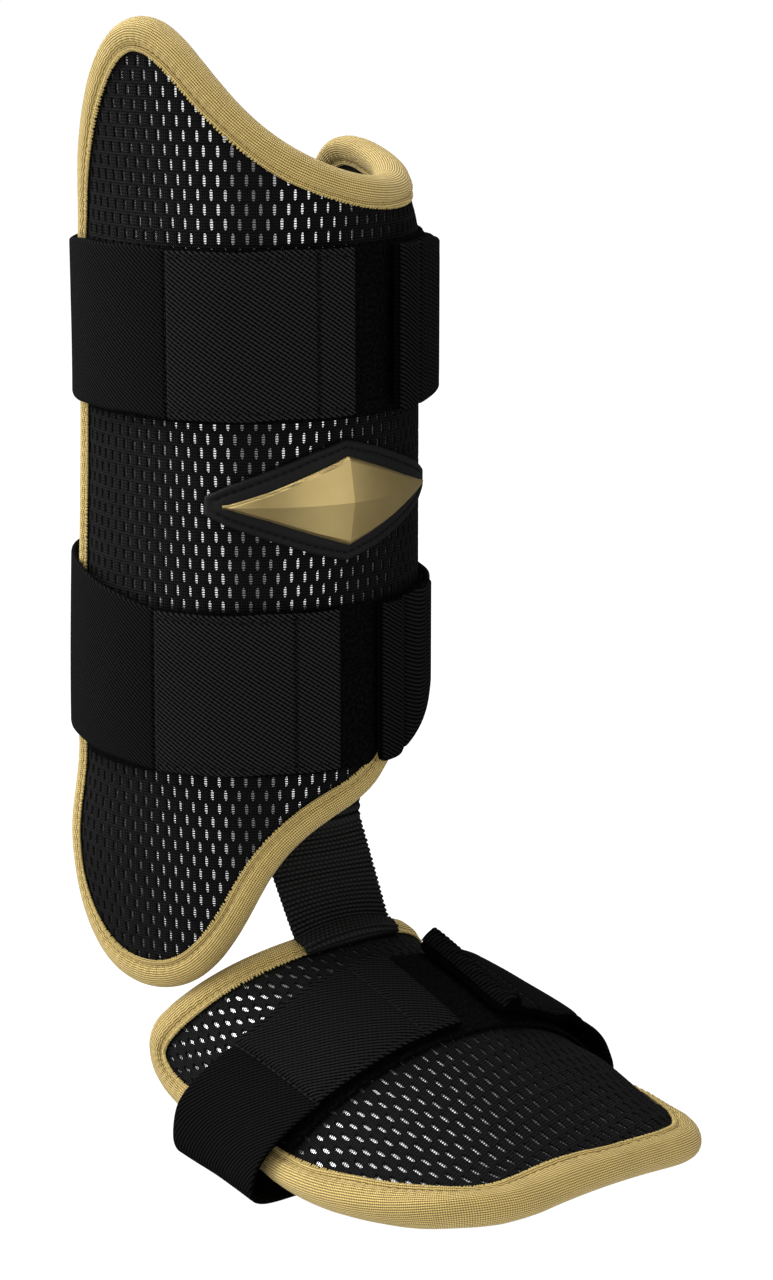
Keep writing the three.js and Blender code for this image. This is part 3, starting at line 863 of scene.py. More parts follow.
@dataclass(frozen=True)
class SatinBacking(Finish):
    """Satin black backing with a fine grain."""

    def recipe(self, g: Graph) -> Recipe:
        """Fine pebbled grain from two noises."""
        grain = g.noise(g.spot, 1.8, 3.0)
        return grain * 0.5 + g.noise(g.spot, 0.1, 2.0) * 0.5, dict(
            Roughness=0.55 + grain * 0.15, Specular_IOR_Level=0.16, Normal=g.bump(grain, 0.05))


@dataclass(frozen=True)
class GoldPlate(Finish):
    """Satin metallic gold with fine flakes."""

    def recipe(self, g: Graph) -> Recipe:
        """Flakes and a slow noise vary the colour; the flakes also vary the gloss."""
        flakes = g.noise(g.spot, 3.5, 2.0)
        return flakes * 0.45 + g.noise(g.spot, 0.08, 3.0) * 0.55, dict(
            Metallic=0.9, Roughness=0.34 + flakes * 0.14, Normal=g.bump(flakes, 0.015))


@dataclass(frozen=True)
class SewingThread(Finish):
    """Twisted sewing thread."""

    def recipe(self, g: Graph) -> Recipe:
        """Slanted twist lines round each stitch, with painted highlight on the ridges and painted shade
        between them.
        """
        # The twist's relief paints highlight on the ridges and shade between them.
        twist = (g.u * 3.0 + g.v).wave(1.6)
        return twist, dict(Roughness=0.72 - twist * 0.15, Specular_IOR_Level=0.12, Normal=g.bump(twist, 0.06))


BLACKEST = (0.0002, 0.0002, 0.0002)
SILVERS = (0.82, 0.825, 0.835), (0.94, 0.945, 0.955)
TAPE = WovenTape("gold_tape", (0.11, 0.070, 0.016), (0.73, 0.54, 0.178))
# The foot strap's elastic takes a darker light colour than the shin straps', a painted shade.
SHIN_ELASTIC = TwillElastic("black_elastic", BLACKEST, (0.0162, 0.0167, 0.0165), -0.74)
SHADED_FOOT_ELASTIC = TwillElastic("black_foot_elastic_painted_shade", BLACKEST, (0.0085, 0.0087, 0.0086), 0.66, pitch=1.2)
PILE = LoopPile("loop_pile", (0.0006, 0.0006, 0.0007), (0.0050, 0.0050, 0.0052))
WEBBING_CLOTH = CoarseWebbing("black_webbing", (0.0004, 0.0004, 0.0004), (0.0200, 0.0200, 0.0196))
KNIT = SlottedKnit("black_mesh", (0.0008, 0.0008, 0.0009), (0.0085, 0.0085, 0.0089))
SHIN_SILVER = SilverPlate("silver_plate", *SILVERS, metal=0.9, gloss=0.16)
FOOT_SILVER = SilverPlate("satin_silver_plate", *SILVERS, metal=0.8, gloss=0.24)
LINING = FoamLining("black_lining", (0.0020, 0.0020, 0.0022), (0.0120, 0.0120, 0.0125))
BACKING = SatinBacking("satin_backing", (0.0036, 0.0033, 0.0034), (0.0080, 0.0075, 0.0077))
GOLD = GoldPlate("gold_plate", (0.36, 0.255, 0.085), (0.66, 0.52, 0.24))
BLACK_THREAD = SewingThread("black_thread", (0.0008, 0.0008, 0.0008), (0.0065, 0.0065, 0.0066))
GOLD_THREAD = SewingThread("gold_thread", (0.20, 0.14, 0.038), (0.72, 0.555, 0.215))


class Workshop:
    """Makes Blender objects of shapes, dresses them and places them on the frame."""

    def __init__(self) -> None:
        """Starts with no materials made."""
        self.materials: dict[str, bpy.types.Material] = {}

    def material(self, finish: Finish) -> bpy.types.Material:
        """The finish's material, made once."""
        if finish.name not in self.materials:
            self.materials[finish.name] = finish.material()
        return self.materials[finish.name]

    def piece(self, name: str, shape: Shape, finish: Finish, slot: Slot, *nodes: str,
              crease: float | None = None) -> bpy.types.Object:
        """Makes one piece of the object.

        Args:
            name: the piece's name.
            shape: its mesh in millimetres.
            finish: its finish.
            slot: the record's slot; not used.
            nodes: the solids that it stands for.
            crease: angle past which edges are sharp.

        Returns:
            The object, riding on the frame.
        """
        mesh = bpy.data.meshes.new(name)
        mesh.from_pydata((shape.points * MM).tolist(), [], shape.faces.tolist(), shade_flat=False)
        layer = mesh.uv_layers.new(name=UV_NAME)
        layer.data.foreach_set("uv", shape.uv[shape.faces.ravel()].astype(np.float32).ravel())
        for key, values in shape.values.items():
            mesh.attributes.new(key, "FLOAT", "POINT").data.foreach_set("value", values.astype(np.float32))
        if crease is not None:
            mesh.set_sharp_from_angle(angle=math.radians(crease))
        mesh.materials.append(self.material(finish))
        made = bpy.data.objects.new(name, mesh)
        bpy.context.scene.collection.objects.link(made)
        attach(made, ROOT)
        if nodes:
            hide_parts(*nodes)
        LOG.info("%s: %d faces", name, len(shape.faces))
        return made


# Panels


@dataclass
class Panel:
    """A padded panel: foam pad, smooth plate, slotted cover and folded binding tape."""

    name: str
    skin: Skin
    silver: SilverPlate
    cover_depth: float = 0.5
    plate_outer: float = -0.62
    thread_half: float = 0.12
    slot_turn: float = 0.0
    pad_step: float = 3.0
    pad_swell: float = 0.7
    pad_fill: float = 0.8
    layer_half: float = 60.0
    layer_rounding: float = 1.6
    slot_pitch: float = 4.18
    row_pitch: float = 4.23
    slot_width: float = 1.05
    slot_length: float = 3.5
    slot_point: float = 0.5
    lip: float = 0.38
    lip_top: float = 0.14
    wall_top: float = -0.16
    thread_top: float = -0.14
    thread_base: float = -0.36
    thread_pitch: float = 0.72
    cover_margin: float = 3.0
    tape_step: float = 0.5
    tape_thick: float = 0.95
    tape_serration: float = 1.15
    tape_pucker: float = 3.6
    tape_stitch: float = 2.6
    tape_seam: float = 7.7
    stitch_size: Size = (1.15, 0.75, 0.75)
    seam_half: float = 0.45

    def layer(self, outer: float, inner: float, crown: float) -> Shape:
        """A closed layer between two depths, whose inner face swells by crown (1 - x^6)(1 - y^6).

        Args:
            outer: depth of the outer face.
            inner: depth of the inner face at the edges.
            crown: swell of the inner face in the middle.

        Returns:
            The layer.
        """
        u, v, along, length = self.skin.sheet(LAYER_MARGIN, self.pad_step)
        x = np.linspace(-1.0, 1.0, len(u))[:, None]
        y = 2.0 * along / length - 1.0
        ends = rounding((x + 1.0) * self.layer_half, 2.0 * self.layer_half, self.layer_rounding)
        depth = inner - crown * (1.0 - x**6) * (1.0 - y**6)
        return slab(self.skin.place(u, v, depth), self.skin.outward(u, v), outer - depth,
                    rounding(along, length, self.layer_rounding) * ends, stacked(u, v))

    def turned(self, u: Array, v: Array, sense: float = 1.0) -> tuple[Array, Array]:
        """Places of the slot lattice, turned by its angle into places on the panel; sense -1 turns back."""
        a = sense * math.radians(self.slot_turn)
        return u * math.cos(a) + v * math.sin(a), v * math.cos(a) - u * math.sin(a)

    def tiles(self) -> tuple[Array, Array]:
        """Column and row of each tile of the slot lattice that lies inside the outline.

        Alternate rows are shifted by half a pitch. Lattice columns are half a pitch apart.
        """
        outline = stacked(*self.turned(*self.skin.edge().T, -1.0))
        low, high = outline.min(0), outline.max(0)
        k, j = np.meshgrid(
            np.arange(int(low[0] * 2.0 / self.slot_pitch) - 2, int(high[0] * 2.0 / self.slot_pitch) + 3),
            np.arange(int(low[1] / self.row_pitch) - 2, int(high[1] / self.row_pitch) + 3),
        )
        keep = (k + j) % 2 == 0
        for dk, dj in ((0, 0), (2, 0), (0, 1), (2, 1)):
            corner = self.turned((k + dk) * self.slot_pitch / 2.0, (j + dj) * self.row_pitch)
            keep &= self.skin.inside(*corner, self.cover_margin)
        return k[keep], j[keep]

    def cover(self) -> Shape:
        """The slotted mesh: each tile of the lattice runs from its six border points over a lip into a slot.

        The slot is an elongated hexagon with walls, crossed by four threads. Tiles share their border points.

        Returns:
            The openwork sheet.
        """
        k, j = self.tiles()
        rng = np.random.default_rng(7)
        half_u, half_v = self.slot_pitch / 2.0, self.row_pitch / 2.0
        ring_k = k[:, None] + np.array([0, 1, 2, 2, 1, 0])
        ring_j = j[:, None] + np.array([0, 0, 0, 1, 1, 1])
        keys, border = np.unique(stacked(ring_k.ravel(), ring_j.ravel()), axis=0, return_inverse=True)
        middle_u = (k + 1) * half_u + rng.normal(0.0, 0.05, len(k))
        middle_v = (j + 0.5) * self.row_pitch + rng.normal(0.0, 0.06, len(k))
        w, l, c = self.slot_width / 2.0, self.slot_length / 2.0, self.slot_point
        slot = np.array([[-w, c - l], [0, -l], [w, c - l], [w, l - c], [0, l], [-w, l - c]])
        outer = np.array([[-1, -1], [0, -1], [1, -1], [1, 1], [0, 1], [-1, 1]]) * [half_u, half_v]
        lip = slot * (1.0 - self.lip) + outer * self.lip
        rows = [(lip, self.lip_top), (slot, self.wall_top), (slot * [0.96, 0.98], -self.cover_depth)]
        corners = keys * [half_u, self.row_pitch]
        blocks, uv = [self.skin.place(*self.turned(*corners.T), np.zeros(len(keys)))], [corners]
        quads, before, start = [], border.reshape(-1, 6), len(keys)
        for offsets, depth in rows:
            u, v = middle_u[:, None] + offsets[:, 0], middle_v[:, None] + offsets[:, 1]
            blocks.append(self.skin.place(*self.turned(u, v), np.full(u.shape, depth)).reshape(-1, 3))
            uv.append(stacked(u, v).reshape(-1, 2))
            index = start + np.arange(u.size).reshape(-1, 6)
            quads.append(stacked(before, np.roll(before, -1, 1), np.roll(index, -1, 1), index).reshape(-1, 4))
            before, start = index, start + u.size
        faces = np.concatenate(quads)[:, :: self.skin.handed]
        body = Shape(np.concatenate(blocks), faces, np.concatenate(uv))
        return joined([body, self.threads(middle_u, middle_v)])

    def threads(self, middle_u: Array, middle_v: Array) -> Shape:
        """Four three-sided threads across each slot, their ends buried in its walls.

        Args:
            middle_u: slot middles across.
            middle_v: slot middles along.

        Returns:
            The threads.
        """
        reach = self.slot_width / 2.0 + 0.08
        beside = np.array([-self.thread_half, self.thread_half, 0.0])
        depth = np.array([self.thread_base, self.thread_base, self.thread_top])
        offset = np.array([-1.5, -0.5, 0.5, 1.5]) * self.thread_pitch
        v = middle_v[:, None, None, None] + offset[:, None, None] + beside
        v = np.broadcast_to(v, (len(middle_v), len(offset), 2, 3))
        u = np.broadcast_to(middle_u[:, None, None, None] + np.array([-reach, reach])[:, None], v.shape)
        points = self.skin.place(*self.turned(u, v), np.broadcast_to(depth, v.shape)).reshape(-1, 3)
        one = np.array([[0, 1, 4, 3], [1, 2, 5, 4], [2, 0, 3, 5]])[:, :: -self.skin.handed]
        faces = (one[None] + 6 * np.arange(v.size // 6)[:, None, None]).reshape(-1, 4)
        return Shape(points, faces, stacked(u, v).reshape(-1, 2))

    def tape_path(self) -> tuple[Array, Array, Array]:
        """Places along the outline, the inward directions there, and the running length."""
        coarse = even_loop(self.skin.edge(), self.skin.edge_steps)
        ahead = unit(np.roll(coarse, -1, 0) - np.roll(coarse, 1, 0))
        inward = np.sign(twice_area(coarse)) * stacked(-ahead[:, 1], ahead[:, 0])
        length = np.linalg.norm(coarse - np.roll(coarse, 1, 0), axis=-1).sum()
        count = int(length / self.tape_step)
        run = np.arange(count) * length / count
        return closed_spline(coarse, count), unit(closed_spline(inward, count)), run

    def tape_section(self) -> tuple[Array, Array, Array]:
        """The tape's section as insets from the edge and depths: over the face, round the roll, and inside.

        Returns:
            The outer line, the inner line, and the distance along the outer line.
        """
        flat = np.array([9.5, 9.42, 9.2, 8.8, 8.4, 8.1, 7.9, 7.7, 7.5, 7.3, 7.0, 6.5, 5.8, 5.1, 4.4])
        face = 1.15 + 0.75 * ramp(8.1, 6.0, flat) - 0.55 * bell(flat - self.tape_seam, self.seam_half)
        face[:2] -= [0.45, 0.15]
        turn = np.radians(np.linspace(12.0, 168.0, 13))
        roll = stacked(4.0 - 4.0 * np.sin(turn), TAPE_MIDDLE + 5.5 * np.cos(turn))
        outer = np.concatenate([stacked(flat, face), roll, stacked(flat[::-2], PAD_INNER - face[::-2])])
        ahead = unit(np.gradient(outer, axis=0))
        inner = outer + self.tape_thick * stacked(-ahead[:, 1], ahead[:, 0])
        inner[[0, -1]] = outer[[0, -1]] + [[0.05, -0.35], [0.05, 0.35]]
        return outer, inner, running(outer)

    def binding(self) -> Shape:
        """The binding tape: its section carried round the outline, with small puckers and a sewn groove.

        The puckers are a sine beside the groove, and the stitches press dents of their own pitch into it.

        Returns:
            The closed tape.
        """
        spots, inward, run = self.tape_path()
        outer, inner, along = self.tape_section()
        back = np.arange(len(outer) - 1, -1, -3)
        inset, depth = np.concatenate([outer, inner[back]]).T
        on_face = depth > TAPE_MIDDLE
        drift = 0.25 * np.sin(run / 11.0) + 0.18 * np.sin(run / 4.7 + 1.0)
        pucker = 0.2 * np.sin(2.0 * math.pi * run / self.tape_pucker + 1.4 * np.sin(run / 17.0))
        dent = 0.2 * np.cos(2.0 * math.pi * run / self.tape_stitch)
        width = self.skin.tape_share(spots[:, 0], spots[:, 1])[:, None]
        insets = np.where(on_face, width, 1.0) * (inset + ramp(6.0, 9.0, inset) * drift[:, None])
        sunk = bell(inset - 6.6, 1.3) * pucker[:, None]
        sunk = sunk + bell(inset - self.tape_seam, self.seam_half) * dent[:, None]
        places = spots[:, None] + inward[:, None] * insets[..., None]
        points = self.skin.place(places[..., 0], places[..., 1], depth + np.where(on_face, 1.0, -1.0) * sunk)
        around = np.concatenate([along, along[back]])
        return lofted(points, stacked(run[:, None], around[None, :]), closed=True)

    def edge_stitches(self) -> Shape:
        """Small stitches over the tape's serrated edge on the outer face."""
        spots, inward, run = self.tape_path()
        count = int(run[-1] / self.tape_serration)
        pick = (np.arange(count) * len(run) / count).astype(int)
        width = self.skin.tape_share(spots[pick, 0], spots[pick, 1])[:, None]
        place, ahead = ((spots[pick] + inward[pick] * inset * width).T for inset in (9.3, 9.8))
        centre = self.skin.place(*place, np.full(count, 0.85))
        along = unit(self.skin.place(*ahead, np.full(count, 0.65)) - centre)
        return grains(centre, along, self.skin.outward(*place), self.stitch_size)

    def area(self) -> tuple[tuple[float, float], float]:
        """Width and length of the flat cut in metres, and its area in square metres."""
        outline = self.skin.edge()
        size = (outline.max(0) - outline.min(0)) * MM
        return (float(size[0]), float(size[1])), abs(twice_area(outline)) / 2.0 * MM * MM

    def build(self, shop: Workshop) -> None:
        """Makes the panel's pieces."""
        n = self.name
        foam = self.layer(PAD_OUTER, PAD_INNER, self.pad_swell)
        pad = shop.piece(f"{n}_lining", foam, LINING, Slot.LINING, f"{n}_pad")
        shell = self.layer(self.plate_outer, PLATE_INNER, 0.0)
        plate = shop.piece(f"{n}_plate", shell, self.silver, Slot.SHELL, f"{n}_shell")
        cover = shop.piece(f"{n}_cover", self.cover(), KNIT, Slot.MESH, f"{n}_mesh")
        flat, area = self.area()
        tape = shop.piece(f"{n}_tape", self.binding(), TAPE, Slot.TAPE, f"{n}_binding")
        stitches = shop.piece(f"{n}_tape_stitches", self.edge_stitches(), GOLD_THREAD, Slot.TAPE)
        length = float(self.tape_path()[2][-1]) * MM
        width = float(self.tape_section()[2][-1]) * MM


# Straps


@dataclass
class Strap:
    """An elastic strap on a panel, with the loop strip that it fastens onto."""

    name: str
    skin: Skin

    def pile(self, across: Array, along: Array, run: Array, seed: int) -> Shape:
        """A fuzzy strip on the panel, its thickness varied at random.

        Args:
            across: arc lengths across, rows by columns.
            along: heights or distances forward of the same places.
            run: running length of the rows.
            seed: seed of the random thickness.

        Returns:
            The strip.
        """
        thick = 1.15 + 0.12 * np.random.default_rng(seed).normal(size=along.shape)
        rise = along - along[:, :1]
        share = rounding(rise, rise[:, -1:], 0.8) * rounding(run, run[-1], 0.8)[:, None]
        seat = self.skin.place(across, along, PILE_SEAT)
        return slab(seat, self.skin.outward(across, along), thick, share, stacked(across, along))

    def rims(self, up: Array, doubled: Array) -> Array:
        """Rounding of both long edges, blunter where the strap is doubled."""
        return rounding(up, up[:, -1:], 0.9, 0.3 + 0.35 * doubled)

    def cloth(self, made: Shape, tab: Array, up: Array) -> Shape:
        """The strap's slab with painted shade: light on the tab, darker off it, darkest at the rims."""
        return with_painted_shade(made, OFF_TAB_PAINTED_SHADE + (1.0 - OFF_TAB_PAINTED_SHADE) * tab + 0.0 * up, RIM_PAINTED_SHADE)

    def make(self, shop: Workshop, panel: str, elastic: TwillElastic, loop_flat: tuple[float, float],
             flat: tuple[float, float]) -> None:
        """Makes the loop strip, the strap and its stitches.

        Args:
            shop: where they are made.
            panel: name of the panel that they lie on; not used.
            elastic: the strap's finish.
            loop_flat: width and length of the loop strip in metres; not used.
            flat: width and length of the strap in metres; not used.
        """
        n = self.name
        loop = shop.piece(f"{n}_loop", self.loop(), PILE, Slot.LOOP, f"{n}_loop_strip")
        strap = shop.piece(f"{n}_band", self.strap(), elastic, Slot.ELASTIC, f"{n}_strap")
        sewn = shop.piece(f"{n}_band_stitches", self.stitches(), BLACK_THREAD, Slot.ELASTIC)


@dataclass
class ShinStrap(Strap):
    """A strap round the shin."""

    low: float
    high: float
    tab: float
    seam: float
    second_seam: float
    fold: float
    standoff: float
    corner: float
    loop_from: float
    loop_to: float
    fold_seam: float = 36.0
    hem_seam: float = 12.0
    corner_span: float = 36.0
    corner_more: float = 0.35
    neck: float = 0.0
    lean: float = 0.0
    low_lean: float = 0.35
    overhang: float = 1.5
    hem: float = 2.2
    seam_depth: float = 1.2
    hem_depth: float = 0.5
    split: float = 1.1
    stitch: float = 2.5
    stitch_size: Size = (1.9, 0.5, 0.5)

    @property
    def end(self) -> float:
        """Angle of the rolled end, past the back of the leg."""
        return self.fold - 360.0

    def lower_edge(self, angle: Array) -> Array:
        """Height of the lower edge, which rises past the end in a quarter ellipse: 1 - sqrt(1 - t^2)."""
        past = (angle - self.end) / self.corner_span
        t = np.clip(past, 0.0, 1.0)
        rise = 1.0 - np.sqrt(1.0 - t * t) + self.corner_more * ramp(0.95, 1.6, past)
        corner = self.corner * rise * ramp(-160.0, -230.0, angle)
        return self.low + corner + self.low_lean * self.raised(angle)

    def upper_edge(self, angle: Array) -> Array:
        """Height of the upper edge, which is drawn in behind the leg."""
        drawn = self.neck * ramp(-106.0, -130.0, angle) * ramp(self.end + 15.0, self.end + 40.0, angle)
        return self.high - drawn + self.raised(angle)

    def raised(self, angle: Array) -> Array:
        """How far the upper edge rises on the inner side of the leg."""
        return self.lean * ramp(-60.0, -125.0, angle) * ramp(-260.0, -135.0, angle)

    def lift(self, angle: Array) -> Array:
        """Depth of the inner face, which stands off the panel toward the rolled end."""
        return STRAP_SEAT + self.standoff * ramp(self.end + 110.0, self.end + 30.0, angle)

    def on_tab(self, angle: Array) -> Array:
        """1 from the seam to the tab's end."""
        return ramp(self.seam - 1.0, self.seam + 1.0, angle)

    def doubled(self, angle: Array) -> Array:
        """The share of doubling: 1 on the tab and along the rolled end."""
        seam = self.end + self.fold_seam
        return np.maximum(self.on_tab(angle), ramp(seam + 1.0, seam - 1.0, angle))

    def grid(self) -> tuple[Array, Array, Array, Array]:
        """Angles, heights, running length and distance up the strap over its whole face."""
        run = spaced((self.tab - self.end) * self.skin.arc, 1.1, 2.2)
        near = np.array([-1.6, -1.0, -0.6, -0.3, 0.0, 0.3, 0.6, 1.0, 1.6])
        sewn = (self.tab - np.array(self.seams()))[:, None] * self.skin.arc + near
        run = np.unique(np.concatenate([run, sewn.ravel()]).round(4))
        angle = (self.tab - run / self.skin.arc)[:, None]
        ripple = 0.22 * np.sin(run / 9.0)[:, None] + 0.16 * np.sin(run / 3.7 + 2.0)[:, None]
        low = self.lower_edge(angle)
        width = self.upper_edge(angle) - low
        up = spaced(1.0, 0.021, 0.03)[None, :]
        return angle, low + width * up + ripple * np.abs(2.0 * up - 1.0) ** 6, run, width * up

    def seams(self) -> tuple[float, float, float]:
        """Angles of the stitched grooves."""
        return self.seam, self.second_seam, self.end + self.hem_seam

    def thickness(self, angle: Array, up: Array) -> Array:
        """Thickness of the strap: doubled at both ends, swollen at the rolled end, pressed in at the seams.

        Past the rolled end it has upright folds, a sine of the distance, and fine grooves along the hems.
        """
        from_end = (angle - self.end) * self.skin.arc
        rolled = ramp(11.0, 6.0, from_end)
        base = ELASTIC + (DOUBLED - ELASTIC) * self.doubled(angle) + (ROLLED - DOUBLED) * rolled
        groove = sum(bell((angle - s) * self.skin.arc, 0.6) for s in self.seams())
        below = up[:, -1:] - up
        level = ramp(0.5, 7.0, np.minimum(up, below))
        folds = 0.2 * level * np.sin(from_end * 1.9) * ramp(11.0, 14.0, from_end) * ramp(34.0, 28.0, from_end)
        hems = bell(up - self.hem, 0.6) + bell(below - self.hem, 0.6)
        hems = hems * ramp(self.seam, self.seam + 1.0, angle)
        return base - self.seam_depth * groove + folds - self.hem_depth * hems

    def strap(self) -> Shape:
        """The strap, carried round the leg at its stand-off from the panel."""
        angle, height, run, up = self.grid()
        inner = self.skin.around(angle + 0.0 * height, height, self.lift(angle))
        outward = self.skin.outward(angle * self.skin.arc, height)
        doubled = self.doubled(angle)
        share = self.rims(up, doubled) * rounding(run, run[-1], 1.6)[:, None]
        uv = stacked(-run[:, None], up)
        made = slab(inner, outward, self.thickness(angle, up), share, uv, self.split * doubled)
        # Painted shade: the strap is lighter on the tab, darker off it and darkest at its rims.
        return self.cloth(made, self.on_tab(angle), up)

    def sewn_row(self, angle: Array, height: Array, above: float) -> Shape:
        """A row of stitches on the strap, turned a little to one side and the other in turn.

        Args:
            angle: angles of the stitches.
            height: their heights.
            above: their distance above the strap's inner face.

        Returns:
            The row.
        """
        centre = self.skin.around(angle, height, self.lift(angle) + above)
        outward = self.skin.outward(angle * self.skin.arc, height)
        ahead = unit(np.gradient(centre, axis=0))
        turn = np.where(np.arange(len(centre)) % 2, 1.0, -1.0)[:, None] * unit(np.cross(outward, ahead))
        return grains(centre + 0.22 * turn, unit(ahead + 0.2 * turn), outward, self.stitch_size)

    def stitches(self) -> Shape:
        """Stitches along the grooves and along both hems of the tab."""
        rows = []
        for angle, thick in zip(self.seams(), (2.2, DOUBLED, DOUBLED)):
            low = float(self.lower_edge(np.array(angle)))
            height = np.arange(low + 2.5, self.high - 2.0, self.stitch)
            rows.append(self.sewn_row(np.full(len(height), angle), height, thick - 1.05))
        along = np.arange(self.seam + 1.5, self.tab - 1.5, self.stitch / self.skin.arc)
        for height in (self.low + self.hem, self.high - self.hem):
            rows.append(self.sewn_row(along, np.full(len(along), height), DOUBLED - 0.28))
        return joined(rows)

    def loop(self) -> Shape:
        """The fuzzy strip under the strap, kept clear of the tape at the panel's lower edge."""
        run = spaced((self.loop_to - self.loop_from) * self.skin.arc, 1.5, 1.2)
        angle = (self.loop_from + run / self.skin.arc)[:, None]
        low = np.maximum(self.low - self.overhang, self.skin.column(angle, TAPE_WIDTH + 1.2)[0])
        height = low + (self.high - low) * spaced(1.0, 0.028, 0.025)[None, :]
        return self.pile(angle * self.skin.arc + 0.0 * height, height, run, 11)

    def build(self, shop: Workshop) -> None:
        """Makes the strap's pieces; its flat length is that of its path round the leg."""
        width = (self.high - self.low) * MM
        length = math.radians(self.tab - self.end) * (self.skin.radius + STRAP_SEAT + 1.0) * MM
        loop_length = (self.loop_to - self.loop_from) * self.skin.arc * MM
        self.make(shop, "shin", SHIN_ELASTIC, (width, loop_length), (width, length))


